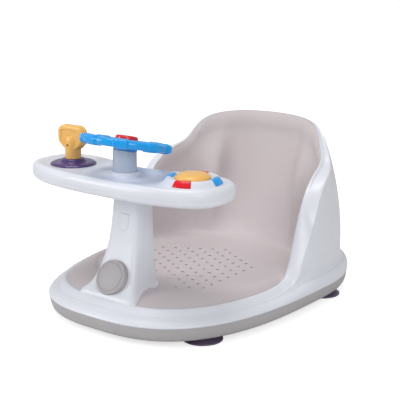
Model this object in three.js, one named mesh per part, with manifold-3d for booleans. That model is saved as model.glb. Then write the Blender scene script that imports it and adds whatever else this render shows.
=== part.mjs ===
// A baby bath seat: a moulded white shell with a greige seat liner on a taupe base with suction
// cups, and a lift-off toy tray with a steering wheel, a turning key and two push buttons.
// Millimetres, +Z up, the front post towards -Y, the origin on the floor under the base's middle.
import * as THREE from 'three';
import { mergeVertices } from 'three/addons/utils/BufferGeometryUtils.js';
import loadManifold from 'manifold-3d';

const wasm = await loadManifold();
wasm.setup();

// Fits shared by the pieces
const gap = 0.3;
const slideGap = 0.4;
const overrun = 10;
const skinWall = 2.8;

// Plan of the base
const baseWidth = 342;
const baseLength = 450;
const widestShare = 0.62;
const frontOutlinePower = 2.8;
const backOutlinePower = 2.39;

// Heights of the seat above the floor
const cupHeight = 8.6;
const seamHeight = 28;
const rimHeight = 46;
const panHeight = 50;
const backHeight = 237;

// Rim, wings and backrest
const rimWidth = 27;
const rimFall = 8.3;
const rimRound = 9.5;
const wallFootInset = 11;
const wallFootRise = 9.5;
const wallCurvePower = 2.2;
const wingWidth = 20;
const creaseDrop = 24;
const wallTopDepth = 9;
const apronCrown = 4.5;
const lipReach = 5;
const lipCrown = 1.5;
const panReach = 192;
const bolsterDepth = 14;
const bolsterWidthDegrees = 8;
const bolsterFootDegrees = 52;
const bolsterDriftDegrees = 15;

// Seat liner and its drain holes
const linerWall = 2.7;
const drainPitch = 18.3;
const drainHoleRadius = 2.3;
const drainColumns = 11;
const drainRows = 20;
const drainBackY = 57;
const shellSlotWidth = 8;
const baseSlotWidth = 12;

// Base pan and its bosses
const baseRound = 17;
const basePanWall = 2.8;
const baseLipHeight = 2;
const bossRadius = 7;

// Screws
const screwRadius = 1.9;
const screwHeadRadius = 3.8;
const screwHeadHeight = 2.4;
const screwLength = 10;
const screwSlotWidth = 1;
const screwWeb = 3;

// Suction cups
const cupRadius = 26;
const cupNeckRadius = 4.5;
const cupHeadRadius = 7.5;
const cupHeadHeight = 3.5;

// Front post
const postTop = 176;
const postWidth = 50;
const postFrontY = -157;
const postBackY = -129;
const postFootReach = 42;
const postFootFlare = 24;
const postBackTaper = 5.5;
const postBackFlare = 13;
const postCorner = 9.5;
const postWall = 3;
const postRibY = -149.5;
const postRibWall = 2;
const postRibDepth = 84;
const postFillet = 4;

// Cap on the post and its pocket
const capRadius = 22.8;
const capStand = 6.5;
const capPocketDepth = 2;
const capHeight = 70;
const capSeatY = -184.5;
const capTiltDegrees = 29;
const capEdgeRound = 1.6;
const capGrooveRadius = 19;
const capGroove = 1.4;
const capPadRadius = 25;
const capPegRadius = 4;
const capPegLength = 10;

// Release button in the post
const releaseHeight = 139;
const releaseFaceY = -161.9;
const releaseTiltDegrees = 9.5;
const releaseWidth = 16;
const releaseTall = 21.5;
const releaseStand = 0.8;
const releaseTravel = 3;
const releaseLip = 2;
const releaseLipWall = 1.6;

// Tray
const trayY = -150;
const trayWidth = 308;
const trayFrontReach = 63.7;
const trayBackReach = 71.8;
const trayWaist = 40.5;
const trayWaistWidth = 100;
const trayOutlinePower = 2.65;
const trayBottom = 180.1;
const traySeam = 191.5;
const trayFloor = 199.8;
const trayRim = 204.4;
const trayRound = 20;
const trayWall = 2.6;
const trayScrewX = 62;
const trayScrewFrontY = -186;
const trayScrewBackY = -128;
const trayBossRadius = 6.4;

// Stem under the tray, which plugs into the post
const stemDepth = 50;
const stemWall = 2.6;
const flangeWidth = 58;
const flangeFrontY = -163;
const flangeBackY = -125;
const flangeCorner = 12;
const stemScrewX = 13;
const stemScrewY = -140.3;
const stemBossRadius = 4.4;

// Steering column and wheel
const columnY = -157.7;
const columnRadius = 15.2;
const columnWall = 3;
const columnFlange = 4;
const columnFlangeWall = 2.5;
const columnBossReach = 7;
const columnBossHeight = 6;
const wheelY = -155;
const wheelHeight = 240;
const wheelTiltDegrees = 13;
const wheelRadius = 55;
const wheelLobe = 3.8;
const wheelLobes = 8;
const wheelLobeTurnDegrees = -11;
const wheelRimWidth = 16;
const wheelThickness = 11;
const wheelRound = 4;
const wheelHubRadius = 22;
const wheelHubDepth = 3.4;
const wheelSpokes = 3;
const wheelSpokeWidth = 16;
const wheelPocketDepth = 8.4;
const axleRadius = 4;
const axleHeadRadius = 7.5;
const axleHeadHeight = 2;
const axleGrip = 12;

// Horn button
const hornRadius = 14.4;
const hornStand = 5;
const hornTravel = 3;
const hornRound = 3;
const hornWall = 2.4;

// Key and its socket ring
const toyX = 101.2;
const toyY = -147.5;
const keyShaftRadius = 10.8;
const keyShaftShoulder = 230;
const keyShaftTop = 240;
const keyBowWidth = 44;
const keyBowHeight = 32;
const keyBowThickness = 14;
const keyBowCentre = 235.7;
const keyBowRound = 8;
const keyBevel = 3.4;
const keyRecess = 1.6;
const keyRecessInset = 5.4;
const keyHoleRadius = 1.8;
const keyTailRadius = 8;
const keyWasherRadius = 15;
const keyWasherWall = 2.4;
const ringRadius = 30.6;
const ringHeight = 7.6;
const ringCollarRadius = 14;
const ringCollarDepth = 3;

// Dome button and the coloured blocks round it
const domeRadius = 22.6;
const domeHeight = 7.8;
const domeSkirt = 2.5;
const domeLipWall = 1.8;
const domeTravel = 4;
const domeWall = 2.4;
const domeLip = 2.2;
const domeBossRadius = 37.4;
const domeBossSlope = 7;
const domeBossHeight = 8.2;
const domeCrestRadius = 31.4;
const domeCrestHeight = 2.4;
const domePegRadius = 9.6;
const blockInset = 1.6;
const blockDegrees = 38;
const blockTurnDegrees = 15;
const blockDepth = 2;
const blockStand = 0.6;

// Dome spring
const springRadius = 8;
const springWire = 1.4;
const springTurns = 4;
const springPegHeight = 5;

// Facets
const roundSides = 24;
const cupSides = 14;
const smallSides = 10;
const screwSides = 8;
const holeSides = 5;
const traySides = 40;
const bendSteps = 3;
const springSides = 5;
const springSteps = 8;

const finishes = {
  white: { color: 0xd9dae4, roughness: 0.34 },
  greige: { color: 0xc3bab8, roughness: 0.62 },
  taupe: { color: 0xa8a6a7, roughness: 0.5 },
  grey: { color: 0xa7afbc, roughness: 0.4 },
  blue: { color: 0x179ade, roughness: 0.3 },
  red: { color: 0xd02c40, roughness: 0.3 },
  yellow: { color: 0xf1bd6a, roughness: 0.35 },
  purple: { color: 0x5a4878, roughness: 0.35 },
  cup: { color: 0x685e76, roughness: 0.25 },
  steel: { color: 0xb9bcc0, roughness: 0.3, metalness: 0.9 },
};

const part = new THREE.Group();

// Curves read from tables. Each row is degrees round from the back, then a share.
const edgeRiseShares = [
  [0, 1], [20, 0.997], [36, 0.98], [45, 0.957], [51, 0.92], [56, 0.85], [61, 0.768], [65, 0.738],
  [71, 0.712], [78, 0.675], [87, 0.597], [95, 0.466], [100, 0.346], [104, 0.22], [108, 0.105],
  [112, 0.037], [118, 0.008], [128, 0], [180, 0],
];
const edgeInsetShares = [
  [0, 1.63], [25, 1.78], [45, 1.9], [55, 1.7], [62, 1.54], [70, 1.5], [78, 1.46], [87, 1.37],
  [95, 1.3], [103, 1.21], [111, 1.13], [118, 1.04], [128, 1], [180, 1],
];
const wingWidthShares = [
  [0, 0.34], [42, 0.38], [55, 0.52], [62, 0.66], [70, 0.85], [78, 0.95], [87, 1], [95, 1],
  [103, 0.9], [111, 0.78], [120, 0.65], [180, 0.65],
];
const creaseDropShares = [
  [0, 0.1], [78, 0.12], [84, 0.22], [90, 0.6], [95, 1], [100, 0.96], [105, 0.66], [110, 0.24],
  [115, 0], [180, 0],
];
const panReachShares = [
  [0, 0.24], [20, 0.26], [35, 0.315], [48, 0.4], [60, 0.485], [72, 0.56], [85, 0.6], [99, 0.635],
  [112, 0.695], [125, 0.79], [145, 0.96], [165, 1], [180, 1],
];
const wallReachShares = [0, 0.24, 0.45, 0.6, 0.73, 0.87, 1];
const wallRiseShares = [0, 0.02, 0.1, 0.25, 0.46, 0.74, 1];
const apronShares = [0, 0.88, 1, 0.93, 0.75, 0.4, 0];
const panFlatShare = 0.55;
const apronStartDegrees = 96;
const apronEndDegrees = 122;

// Stations round the seat: from and to in degrees, then how many steps.
const stationSpans = [
  [0, 48, 5], [48, 66, 4], [66, 84, 3], [84, 116, 7], [116, 138, 2], [138, 160, 5], [160, 180, 3],
];

function slopeAt(table, i) {
  if (i === 0 || i === table.length - 1) return 0;
  const before = (table[i][1] - table[i - 1][1]) / (table[i][0] - table[i - 1][0]);
  const after = (table[i + 1][1] - table[i][1]) / (table[i + 1][0] - table[i][0]);
  return before * after <= 0 ? 0 : (2 * before * after) / (before + after);
}

// A smooth curve through a table that never swings past its rows.
function readTable(table, angle) {
  const degrees = Math.abs(THREE.MathUtils.radToDeg(angle));
  let i = 0;
  while (i < table.length - 2 && table[i + 1][0] < degrees) i += 1;
  const span = table[i + 1][0] - table[i][0];
  const t = THREE.MathUtils.clamp((degrees - table[i][0]) / span, 0, 1);
  const rise = table[i + 1][1] - table[i][1];
  const start = slopeAt(table, i) * span;
  const end = slopeAt(table, i + 1) * span;
  const bend = t * t * (3 * rise - 2 * start - end) + t * t * t * (start + end - 2 * rise);
  return table[i][1] + t * start + bend;
}

function signedVolume(positions, faces) {
  const [a, b, c] = [new THREE.Vector3(), new THREE.Vector3(), new THREE.Vector3()];
  let sum = 0;
  for (let i = 0; i < faces.length; i += 3) {
    a.fromArray(positions, faces[i] * 3);
    b.fromArray(positions, faces[i + 1] * 3);
    c.fromArray(positions, faces[i + 2] * 3);
    sum += a.dot(b.cross(c));
  }
  return sum;
}

function solidOf(geometry) {
  const bare = new THREE.BufferGeometry();
  bare.setAttribute('position', geometry.getAttribute('position'));
  if (geometry.index) bare.setIndex(geometry.index);
  const welded = mergeVertices(bare);
  const order = welded.index.array;
  const positions = welded.getAttribute('position').array;
  const faces = [];
  for (let i = 0; i < order.length; i += 3) {
    const [a, b, c] = [order[i], order[i + 1], order[i + 2]];
    if (a !== b && b !== c && c !== a) faces.push(a, b, c);
  }
  if (signedVolume(positions, faces) < 0) faces.reverse();
  return new wasm.Manifold(new wasm.Mesh({
    numProp: 3,
    vertProperties: new Float32Array(positions),
    triVerts: new Uint32Array(faces),
  }));
}

function geometryOf(solid) {
  const mesh = solid.getMesh();
  const geometry = new THREE.BufferGeometry();
  geometry.setAttribute('position', new THREE.BufferAttribute(mesh.vertProperties, mesh.numProp));
  geometry.setIndex(new THREE.BufferAttribute(mesh.triVerts, 1));
  geometry.computeVertexNormals();
  return geometry;
}

function cut(solid, ...tools) {
  return tools.reduce((left, tool) => left.subtract(tool), solid);
}

function join(solid, ...others) {
  return others.reduce((sum, other) => sum.add(other), solid);
}

function addPart(name, solid, finish) {
  const material = new THREE.MeshStandardMaterial({ metalness: 0, ...finishes[finish] });
  const mesh = new THREE.Mesh(geometryOf(solid), material);
  mesh.name = name;
  part.add(mesh);
}

// Two facets over one four-sided patch, split along its shorter diagonal.
function patch(points, [a, b, c, d]) {
  const straight = points[a].distanceTo(points[d]) <= points[b].distanceTo(points[c]);
  return straight ? [a, b, d, a, d, c] : [a, b, c, b, d, c];
}

// A closed surface through rings of equal count. A ring of one point closes an end.
function skinOf(rings) {
  const points = rings.flat();
  const faces = [];
  let start = 0;
  for (let k = 0; k + 1 < rings.length; k += 1) {
    const [low, high] = [rings[k].length, rings[k + 1].length];
    const upper = start + low;
    for (let i = 0; i < Math.max(low, high); i += 1) {
      const next = i + 1;
      const [a, b] = [start + (i % low), start + (next % low)];
      const [c, d] = [upper + (i % high), upper + (next % high)];
      if (low === 1) faces.push(a, d, c);
      else if (high === 1) faces.push(a, b, c);
      else faces.push(...patch(points, [a, b, c, d]));
    }
    start = upper;
  }
  const geometry = new THREE.BufferGeometry().setFromPoints(points);
  geometry.setIndex(faces);
  return solidOf(geometry);
}

function middleOf(ring) {
  const sum = ring.reduce((total, point) => total.add(point), new THREE.Vector3());
  return [sum.divideScalar(ring.length)];
}

function cappedSkin(rings) {
  return skinOf([middleOf(rings[0]), ...rings, middleOf(rings[rings.length - 1])]);
}

// A turned solid about +Z from rows of radius and height.
function turned(profile, sides) {
  const points = profile.map(([radius, height]) => new THREE.Vector2(radius, height));
  return solidOf(new THREE.LatheGeometry(points, sides).rotateX(Math.PI / 2));
}

function turnedRing(profile, sides) {
  return turned([...profile, profile[0]], sides);
}

function rod(radius, bottom, top, sides) {
  return turned([[0, bottom], [radius, bottom], [radius, top], [0, top]], sides);
}

function block([width, depth, height], [x, y, z]) {
  return solidOf(new THREE.BoxGeometry(width, depth, height).translate(x, y, z));
}

function plate(shape, depth, options) {
  return solidOf(new THREE.ExtrudeGeometry(shape, { depth, bevelEnabled: false, ...options }));
}

// A frame is a matrix that carries a local solid to its place.
function frameAt(x, y, z, tiltDegrees) {
  const tilt = new THREE.Matrix4().makeRotationX(THREE.MathUtils.degToRad(tiltDegrees));
  return new THREE.Matrix4().makeTranslation(x, y, z).multiply(tilt);
}

function carried(solid, frame) {
  return solid.transform(frame.elements);
}

function rodAt([x, y], radius, bottom, top, sides) {
  return carried(rod(radius, bottom, top, sides), frameAt(x, y, 0, 0));
}

// Corner points softened by curves that start a set reach before each corner.
function softened(corners, reach) {
  return corners.flatMap((corner, i) => {
    const before = corners[(i + corners.length - 1) % corners.length];
    const after = corners[(i + 1) % corners.length];
    const from = new THREE.Vector2().subVectors(before, corner).setLength(reach).add(corner);
    const to = new THREE.Vector2().subVectors(after, corner).setLength(reach).add(corner);
    return new THREE.QuadraticBezierCurve(from, corner, to).getPoints(bendSteps);
  });
}

function loopAt(points, height) {
  return points.map((point) => new THREE.Vector3(point.x, point.y, height));
}

function softBox([left, right], [front, back], reach, heights) {
  const corners = [[left, front], [right, front], [right, back], [left, back]];
  const points = softened(corners.map(([x, y]) => new THREE.Vector2(x, y)), reach);
  return cappedSkin(heights.map((height) => loopAt(points, height)));
}

// The plan outline of the base, as a reach from the middle of its widest line.
const frontReach = baseLength * widestShare;
const backReach = baseLength - frontReach;
const widestY = baseLength / 2 - backReach;

function ovalReach(angle, halfWidth, halfDepth, power) {
  const across = Math.abs(Math.sin(angle)) / halfWidth;
  const along = Math.abs(Math.cos(angle)) / halfDepth;
  return (across ** power + along ** power) ** (-1 / power);
}

function baseReach(angle) {
  if (Math.cos(angle) < 0) return ovalReach(angle, baseWidth / 2, frontReach, frontOutlinePower);
  return ovalReach(angle, baseWidth / 2, backReach, backOutlinePower);
}

function place(angle, [reach, height]) {
  return new THREE.Vector3(Math.sin(angle) * reach, widestY + Math.cos(angle) * reach, height);
}

function stationAngles() {
  const side = stationSpans.flatMap(([from, to, count]) =>
    Array.from({ length: count }, (_, i) => from + ((to - from) * i) / count));
  const far = side.slice(1).reverse().map((value) => -value);
  return [...side, 180, ...far].map((value) => THREE.MathUtils.degToRad(value));
}

const stations = stationAngles();

function stationRings(profileAt) {
  const profiles = stations.map(profileAt);
  return profiles[0].map((_, k) => stations.map((angle, i) => place(angle, profiles[i][k])));
}

function pole(height) {
  return [new THREE.Vector3(0, widestY, height)];
}

// The sitting surface
function apronAt(angle) {
  const degrees = Math.abs(THREE.MathUtils.radToDeg(angle));
  return THREE.MathUtils.smoothstep(degrees, apronStartDegrees, apronEndDegrees);
}

// Bolsters stand beside the back panel and drift apart towards the seat.
function bolsterAt(angle, riseShare, stretch) {
  const ridge = bolsterFootDegrees - bolsterDriftDegrees * riseShare;
  const away = (Math.abs(THREE.MathUtils.radToDeg(angle)) - ridge) / bolsterWidthDegrees;
  const window = Math.sin(Math.PI * THREE.MathUtils.clamp(riseShare, 0, 1)) ** 0.6;
  return bolsterDepth * Math.exp(-away * away) * window * stretch;
}

// Rows of reach and height from the flat of the pan out to the liner's edge.
function sittingProfile(angle) {
  const inner = panReach * readTable(panReachShares, angle);
  const outer = baseReach(angle) - rimWidth * readTable(edgeInsetShares, angle);
  const edge = rimHeight + (backHeight - rimHeight) * readTable(edgeRiseShares, angle);
  const rise = edge - panHeight;
  const stretch = THREE.MathUtils.clamp(rise / (backHeight - panHeight), 0, 1);
  const wall = wallReachShares.map((share, i) => [
    inner + (outer - inner) * share - bolsterAt(angle, wallRiseShares[i], stretch),
    panHeight + rise * wallRiseShares[i] + apronCrown * apronShares[i] * apronAt(angle),
  ]);
  return [[inner * panFlatShare, panHeight], ...wall];
}

function headingAt(rows, i) {
  const before = rows[Math.max(i - 1, 0)];
  const after = rows[Math.min(i + 1, rows.length - 1)];
  const length = Math.hypot(after[0] - before[0], after[1] - before[1]);
  return [(after[0] - before[0]) / length, (after[1] - before[1]) / length];
}

// Rows moved to the right-hand side of their own line.
function offsetRows(rows, distance) {
  return rows.map(([reach, height], i) => {
    const [along, up] = headingAt(rows, i);
    return [reach + up * distance, height - along * distance];
  });
}

function onward([reach, height], [along, up], distance) {
  return [reach + along * distance, height + up * distance];
}

function lastOf(rows) {
  return rows[rows.length - 1];
}

// The white shell
const wallShares = [0.22, 0.56];
const rimShares = [[0.74, 0.93, 0.42], [0.28, 0.77, 0.24], [0.02, 0.44, 0.1], [0.08, 0, 0]];
const creaseFallShare = 0.78;
const slopeBackShares = [0.5, 0.87];

function creaseAt(angle, edge) {
  const drop = creaseDrop * readTable(creaseDropShares, angle);
  const width = wingWidth * readTable(wingWidthShares, angle);
  return [edge[0] + width, edge[1] - drop - rimFall * creaseFallShare * apronAt(angle)];
}

function footAt(angle, crease) {
  const reach = Math.max(baseReach(angle) - wallFootInset, crease[0] + gap);
  const height = rimHeight + wallFootRise * (1 - apronAt(angle)) - rimFall * apronAt(angle);
  return [reach, Math.min(height, crease[1] - gap)];
}

function wallBetween(crease, foot) {
  return wallShares.map((share) => [
    foot[0] - (foot[0] - crease[0]) * (1 - share) ** wallCurvePower,
    crease[1] + (foot[1] - crease[1]) * share,
  ]);
}

function rimAt(angle) {
  const bottom = seamHeight + gap;
  return rimShares.map(([inset, rise, frontRise]) => [
    baseReach(angle) - rimRound * inset,
    bottom + (rimHeight - bottom) * THREE.MathUtils.lerp(rise, frontRise, apronAt(angle)),
  ]);
}

// The hidden side of the outer wall: upright under the wing, sloped under the front rim.
function wallBack(angle, [crease, ...wall], foot, roof) {
  const skirt = rimAt(angle).slice(2).reverse();
  const rows = [...skirt, foot, wall[1], wall[0]];
  const inner = rows.map(([reach, height]) => [
    reach - skinWall,
    height > rimHeight - skinWall ? Math.min(height - skinWall, roof) : height,
  ]);
  const upright = [...inner, [Math.min(crease[0], lastOf(inner)[0] - gap), roof]];
  const [inwards, down] = slopeBackShares;
  const sloped = [...rows.slice(2), crease].map(([reach, height]) =>
    [reach - skinWall * inwards, height - skinWall * down]);
  return [...inner.slice(0, 2), ...sloped].map((row, i) => row.map((value, k) =>
    THREE.MathUtils.lerp(upright[i][k], value, apronAt(angle))));
}

function shellProfile(angle) {
  const sitting = sittingProfile(angle);
  const heading = headingAt(sitting, sitting.length - 1);
  const edge = lastOf(sitting);
  const bucket = offsetRows(sitting, linerWall + gap);
  const lip = onward(edge, heading, gap);
  const bead = [lip[0] + lipReach, lip[1] + lipCrown * (1 - apronAt(angle))];
  const crease = creaseAt(angle, edge);
  const foot = footAt(angle, crease);
  const wall = wallBetween(crease, foot);
  const lowest = Math.min(edge[1], crease[1] + rimFall * apronAt(angle));
  const roof = lowest - skinWall - gap - wallTopDepth * (1 - apronAt(angle));
  const inner = wallBack(angle, [crease, ...wall], foot, roof);
  const under = offsetRows(sitting, linerWall + gap + skinWall).map(([reach, height]) =>
    [Math.min(reach, lastOf(inner)[0] - gap), Math.min(height, roof)]);
  const outside = [lip, bead, crease, ...wall, foot, ...rimAt(angle)];
  const corner = onward(lastOf(bucket), heading, gap);
  return [...bucket.slice(0, -1), corner, ...outside, ...inner, ...under.reverse()];
}

// Drain holes: staggered columns, cut back beside the post and pointed there.
const columnStep = (drainPitch * Math.sqrt(3)) / 2;
const rowStep = drainPitch / 2;
const drainFirstRows = [0, 0, 1, 2, 3, 4];
const drainLastRows = [15, 16, 17, 20, 19, 18];

function drainColumn(index) {
  const side = Math.abs(index);
  const rows = [];
  for (let row = 0; row <= drainRows; row += 1) {
    const staggered = (row + side) % 2 === 0;
    const within = row >= drainFirstRows[side] && row <= drainLastRows[side];
    if (staggered && within) rows.push(drainBackY - row * rowStep);
  }
  return { x: index * columnStep, rows };
}

function drainField() {
  const half = (drainColumns - 1) / 2;
  return Array.from({ length: drainColumns }, (_, i) => drainColumn(i - half));
}

function drainHoles() {
  const low = panHeight - linerWall - overrun;
  const high = panHeight + overrun;
  return drainField().flatMap(({ x, rows }) =>
    rows.map((y) => rodAt([x, y], drainHoleRadius, low, high, holeSides)));
}

function drainSlots(width, low, high) {
  return drainField().map(({ x, rows }) => {
    const front = Math.min(...rows) - width / 2;
    const back = Math.max(...rows) + width / 2;
    return block([width, back - front, high - low], [x, (front + back) / 2, (low + high) / 2]);
  });
}

// The post: rows of height share from the top, then shares of the foot's reach, flare and fillet.
const postShares = [
  [0, 0, 0, 0], [0.28, 0.12, 0, 0], [0.45, 0.23, 0.03, 0], [0.59, 0.37, 0.12, 0],
  [0.69, 0.49, 0.22, 0], [0.765, 0.59, 0.34, 0], [0.845, 0.73, 0.5, 0.06], [0.89, 0.84, 0.64, 0.3],
  [0.925, 0.94, 0.8, 0.85], [1, 1, 1, 1],
];
const postFoot = rimHeight - skinWall * 2;

function postLoop([down, spread, flare, fillet], clearance, height) {
  const grow = clearance + postFillet * fillet;
  const front = postFrontY - postFootReach * spread - grow;
  const back = postBackY + postBackFlare * Math.max(down ** 2, flare) * down + grow;
  const frontHalf = postWidth / 2 + postFootFlare * flare + grow;
  const backHalf = postWidth / 2 - postBackTaper * flare + grow;
  const corners = [[-frontHalf, front], [frontHalf, front], [backHalf, back], [-backHalf, back]];
  const points = corners.map(([x, y]) => new THREE.Vector2(x, y));
  return loopAt(softened(points, postCorner + grow), height);
}

function postLoft(grow, top, bottom) {
  const rings = postShares.map((row) => postLoop(row, grow, postTop + (postFoot - postTop) * row[0]));
  const above = top > postTop ? [postLoop(postShares[0], grow, top)] : [];
  const below = bottom < postFoot ? [postLoop(lastOf(postShares), grow, bottom)] : [];
  return cappedSkin([...above, ...rings, ...below]);
}

// The cap's frame: local +Z points out of the post's face.
const capFrame = frameAt(0, capSeatY, capHeight, 90 - capTiltDegrees);

function capSeat() {
  return carried(rod(capPadRadius, -capPocketDepth - postWall, 0, roundSides), capFrame);
}

function capPocket() {
  const well = rod(capRadius + slideGap, -capPocketDepth, capRadius, roundSides);
  const pegHole = rod(capPegRadius + slideGap, -capPegLength - slideGap, 0, smallSides);
  return carried(join(well, pegHole), capFrame);
}

// The release button: square above, round below.
const releaseFrame = frameAt(0, releaseFaceY, releaseHeight, 90 - releaseTiltDegrees);

function releasePlate(grow, from, to) {
  const half = releaseWidth / 2 + grow;
  const top = releaseTall / 2 + grow;
  const turn = half - top;
  const shape = new THREE.Shape();
  shape.moveTo(half, top);
  shape.lineTo(-half, top);
  shape.lineTo(-half, turn);
  shape.absarc(0, turn, half, Math.PI, Math.PI * 2, false);
  const solid = plate(shape, to - from, { curveSegments: 8 });
  return carried(solid.translate([0, 0, from]), releaseFrame);
}

// Places on the base, as shares of its half width and of its reach forwards or backwards.
const screwFrontShares = [0.538, -0.566];
const screwBackShares = [0.468, 0.117];
const cupFrontShares = [0.643, -0.692];
const cupBackShares = [0.795, 0.292];

function basePair([across, along]) {
  const x = (baseWidth / 2) * across;
  const y = widestY + along * (along < 0 ? frontReach : backReach);
  return [[x, y], [-x, y]];
}

const baseFloorTop = cupHeight + basePanWall;
const shellFloorUnder = panHeight - linerWall - gap - skinWall;
const bossMeeting = (shellFloorUnder + baseFloorTop) / 2;
const baseScrewSpots = [...basePair(screwFrontShares), ...basePair(screwBackShares)];

function shellBosses() {
  const top = shellFloorUnder + gap;
  return baseScrewSpots.map((spot) => rodAt(spot, bossRadius, bossMeeting + gap, top, smallSides));
}

function shellBores() {
  const top = bossMeeting + screwLength;
  return baseScrewSpots.map((spot) =>
    rodAt(spot, screwRadius + gap, bossMeeting - overrun, top, screwSides));
}

function addSeatShell() {
  const bucketFloor = panHeight - linerWall - gap;
  const bowl = skinOf([pole(bucketFloor), ...stationRings(shellProfile), pole(shellFloorUnder)]);
  const core = postLoft(-postWall, postTop + overrun, postFoot - overrun);
  const ribY = postRibY - postRibWall / 2;
  const ribSize = [postWidth - postWall, postRibWall, postRibDepth];
  const rib = block(ribSize, [0, ribY, postTop - postRibDepth / 2]);
  const outside = postLoft(0, postTop, postFoot);
  const hollow = cut(join(bowl, outside), core);
  const built = join(hollow, rib, capSeat().intersect(outside), ...shellBosses());
  const window = releasePlate(slideGap, -overrun / 2, overrun);
  const slots = drainSlots(shellSlotWidth, seamHeight, panHeight);
  addPart('seat_shell', cut(built, capPocket(), window, ...shellBores(), ...slots), 'white');
}

function addSeatLiner() {
  const rings = stationRings((angle) => {
    const top = sittingProfile(angle);
    return [...top, ...offsetRows(top, linerWall).reverse()];
  });
  const sheet = skinOf([pole(panHeight), ...rings, pole(panHeight - linerWall)]);
  const room = postLoft(gap, postTop, postFoot - overrun);
  addPart('seat_liner', cut(sheet, room, ...drainHoles()), 'greige');
}

// The base pan
const baseWallShares = [[1, 0], [0.44, 0.07], [0.24, 0.28], [0.1, 0.66], [0.05, 1]];
const lipFootShare = 0.6;

function baseProfile(angle) {
  const edge = baseReach(angle);
  const tall = seamHeight - cupHeight;
  const outside = baseWallShares.map(([inset, rise]) =>
    [edge - baseRound * inset, cupHeight + tall * rise]);
  const lipOutside = lastOf(outside)[0] - skinWall - slideGap;
  const lipInside = lipOutside - basePanWall;
  const lipTop = seamHeight + baseLipHeight;
  return [
    ...outside,
    [lipOutside, seamHeight],
    [lipOutside, lipTop],
    [lipInside, lipTop],
    [lipInside, cupHeight + tall * lipFootShare],
    [lipInside - basePanWall, baseFloorTop + basePanWall],
    [edge - baseRound - basePanWall, baseFloorTop],
  ];
}

const cupNames = ['front_right', 'front_left', 'back_right', 'back_left'];
const cupSpots = [...basePair(cupFrontShares), ...basePair(cupBackShares)];

function addBaseTray() {
  const pan = skinOf([pole(cupHeight), ...stationRings(baseProfile), pole(baseFloorTop)]);
  const webFoot = bossMeeting - screwWeb;
  const bosses = baseScrewSpots.map((spot) =>
    rodAt(spot, bossRadius, baseFloorTop - gap, bossMeeting, smallSides));
  const wells = baseScrewSpots.map((spot) =>
    rodAt(spot, screwHeadRadius + slideGap, cupHeight - overrun, webFoot, smallSides));
  const holes = baseScrewSpots.map((spot) =>
    rodAt(spot, screwRadius + gap, webFoot - gap, bossMeeting + gap, screwSides));
  const necks = cupSpots.map((spot) =>
    rodAt(spot, cupNeckRadius + gap, cupHeight - gap, baseFloorTop + gap, smallSides));
  const slots = drainSlots(baseSlotWidth, cupHeight - gap, baseFloorTop + gap);
  const everyOther = slots.filter((_, i) => i % 2 === 1);
  addPart('base_tray', cut(join(pan, ...bosses), ...wells, ...holes, ...necks, ...everyOther), 'taupe');
}

// One screw, head down at zero and shank up, with a slot in the head.
function screwSolid() {
  const top = screwHeadHeight + screwLength;
  const body = turned([
    [0, 0], [screwHeadRadius, 0], [screwHeadRadius, screwHeadHeight],
    [screwRadius, screwHeadHeight], [screwRadius, top - screwRadius], [0, top],
  ], screwSides);
  const slot = block([screwHeadRadius * 1.4, screwSlotWidth, screwHeadHeight], [0, 0, 0]);
  return cut(body, slot);
}

function addScrewUp(name, [x, y], webFoot) {
  const height = webFoot - gap - screwHeadHeight;
  addPart(name, carried(screwSolid(), frameAt(x, y, height, 0)), 'steel');
}

function addScrewDown(name, [x, y], floor) {
  const height = floor + gap + screwHeadHeight;
  addPart(name, carried(screwSolid(), frameAt(x, y, height, 180)), 'steel');
}

// Suction cups: a thin bell with a neck and a mushroom head above the base floor.
const cupBellShares = [[1, 0], [1, 0.14], [0.9, 0.36], [0.62, 0.74], [0.4, 0.96]];
const cupHollowShares = [[0, 0.52], [0.45, 0.44], [0.8, 0.12], [0.88, 0]];

function addCup(name, [x, y]) {
  const head = baseFloorTop + gap;
  const scaled = ([radius, height]) => [cupRadius * radius, cupHeight * height];
  const body = turned([
    ...cupHollowShares.map(scaled),
    ...cupBellShares.map(scaled),
    [cupNeckRadius, cupHeight - gap],
    [cupNeckRadius, head],
    [cupHeadRadius, head],
    [cupHeadRadius * 0.7, head + cupHeadHeight],
    [0, head + cupHeadHeight],
  ], cupSides);
  addPart(name, carried(body, frameAt(x, y, 0, 0)), 'cup');
}

function addPostCap() {
  const rear = gap - capPocketDepth;
  const body = turned([
    [0, -capPegLength], [capPegRadius, -capPegLength], [capPegRadius, rear],
    [capRadius, rear], [capRadius, capStand - capEdgeRound],
    [capRadius - capEdgeRound, capStand], [capGrooveRadius + capGroove, capStand],
    [capGrooveRadius, capStand - capGroove], [capGrooveRadius - capGroove, capStand],
    [0, capStand],
  ], roundSides);
  addPart('post_cap', carried(body, capFrame), 'taupe');
}

function addReleaseButton() {
  const lipTop = -postWall - slideGap * 2;
  const face = releasePlate(0, lipTop - gap, releaseStand);
  const lip = releasePlate(releaseLip, lipTop - releaseLipWall, lipTop);
  addPart('release_button', join(face, lip), 'white');
}

// The tray: an oval whose back edge is drawn in round the child.
function trayRing([inset, height]) {
  return Array.from({ length: traySides }, (_, i) => {
    const angle = (i / traySides) * Math.PI * 2;
    const halfDepth = (Math.cos(angle) < 0 ? trayFrontReach : trayBackReach) - inset;
    const reach = ovalReach(angle, trayWidth / 2 - inset, halfDepth, trayOutlinePower);
    const [x, y] = [Math.sin(angle) * reach, Math.cos(angle) * reach];
    const middle = Math.exp(-((x / trayWaistWidth) ** 2));
    const drawnIn = (trayWaist * middle * Math.max(y, 0)) / halfDepth;
    return new THREE.Vector3(x, trayY + y - drawnIn, height);
  });
}

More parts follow.
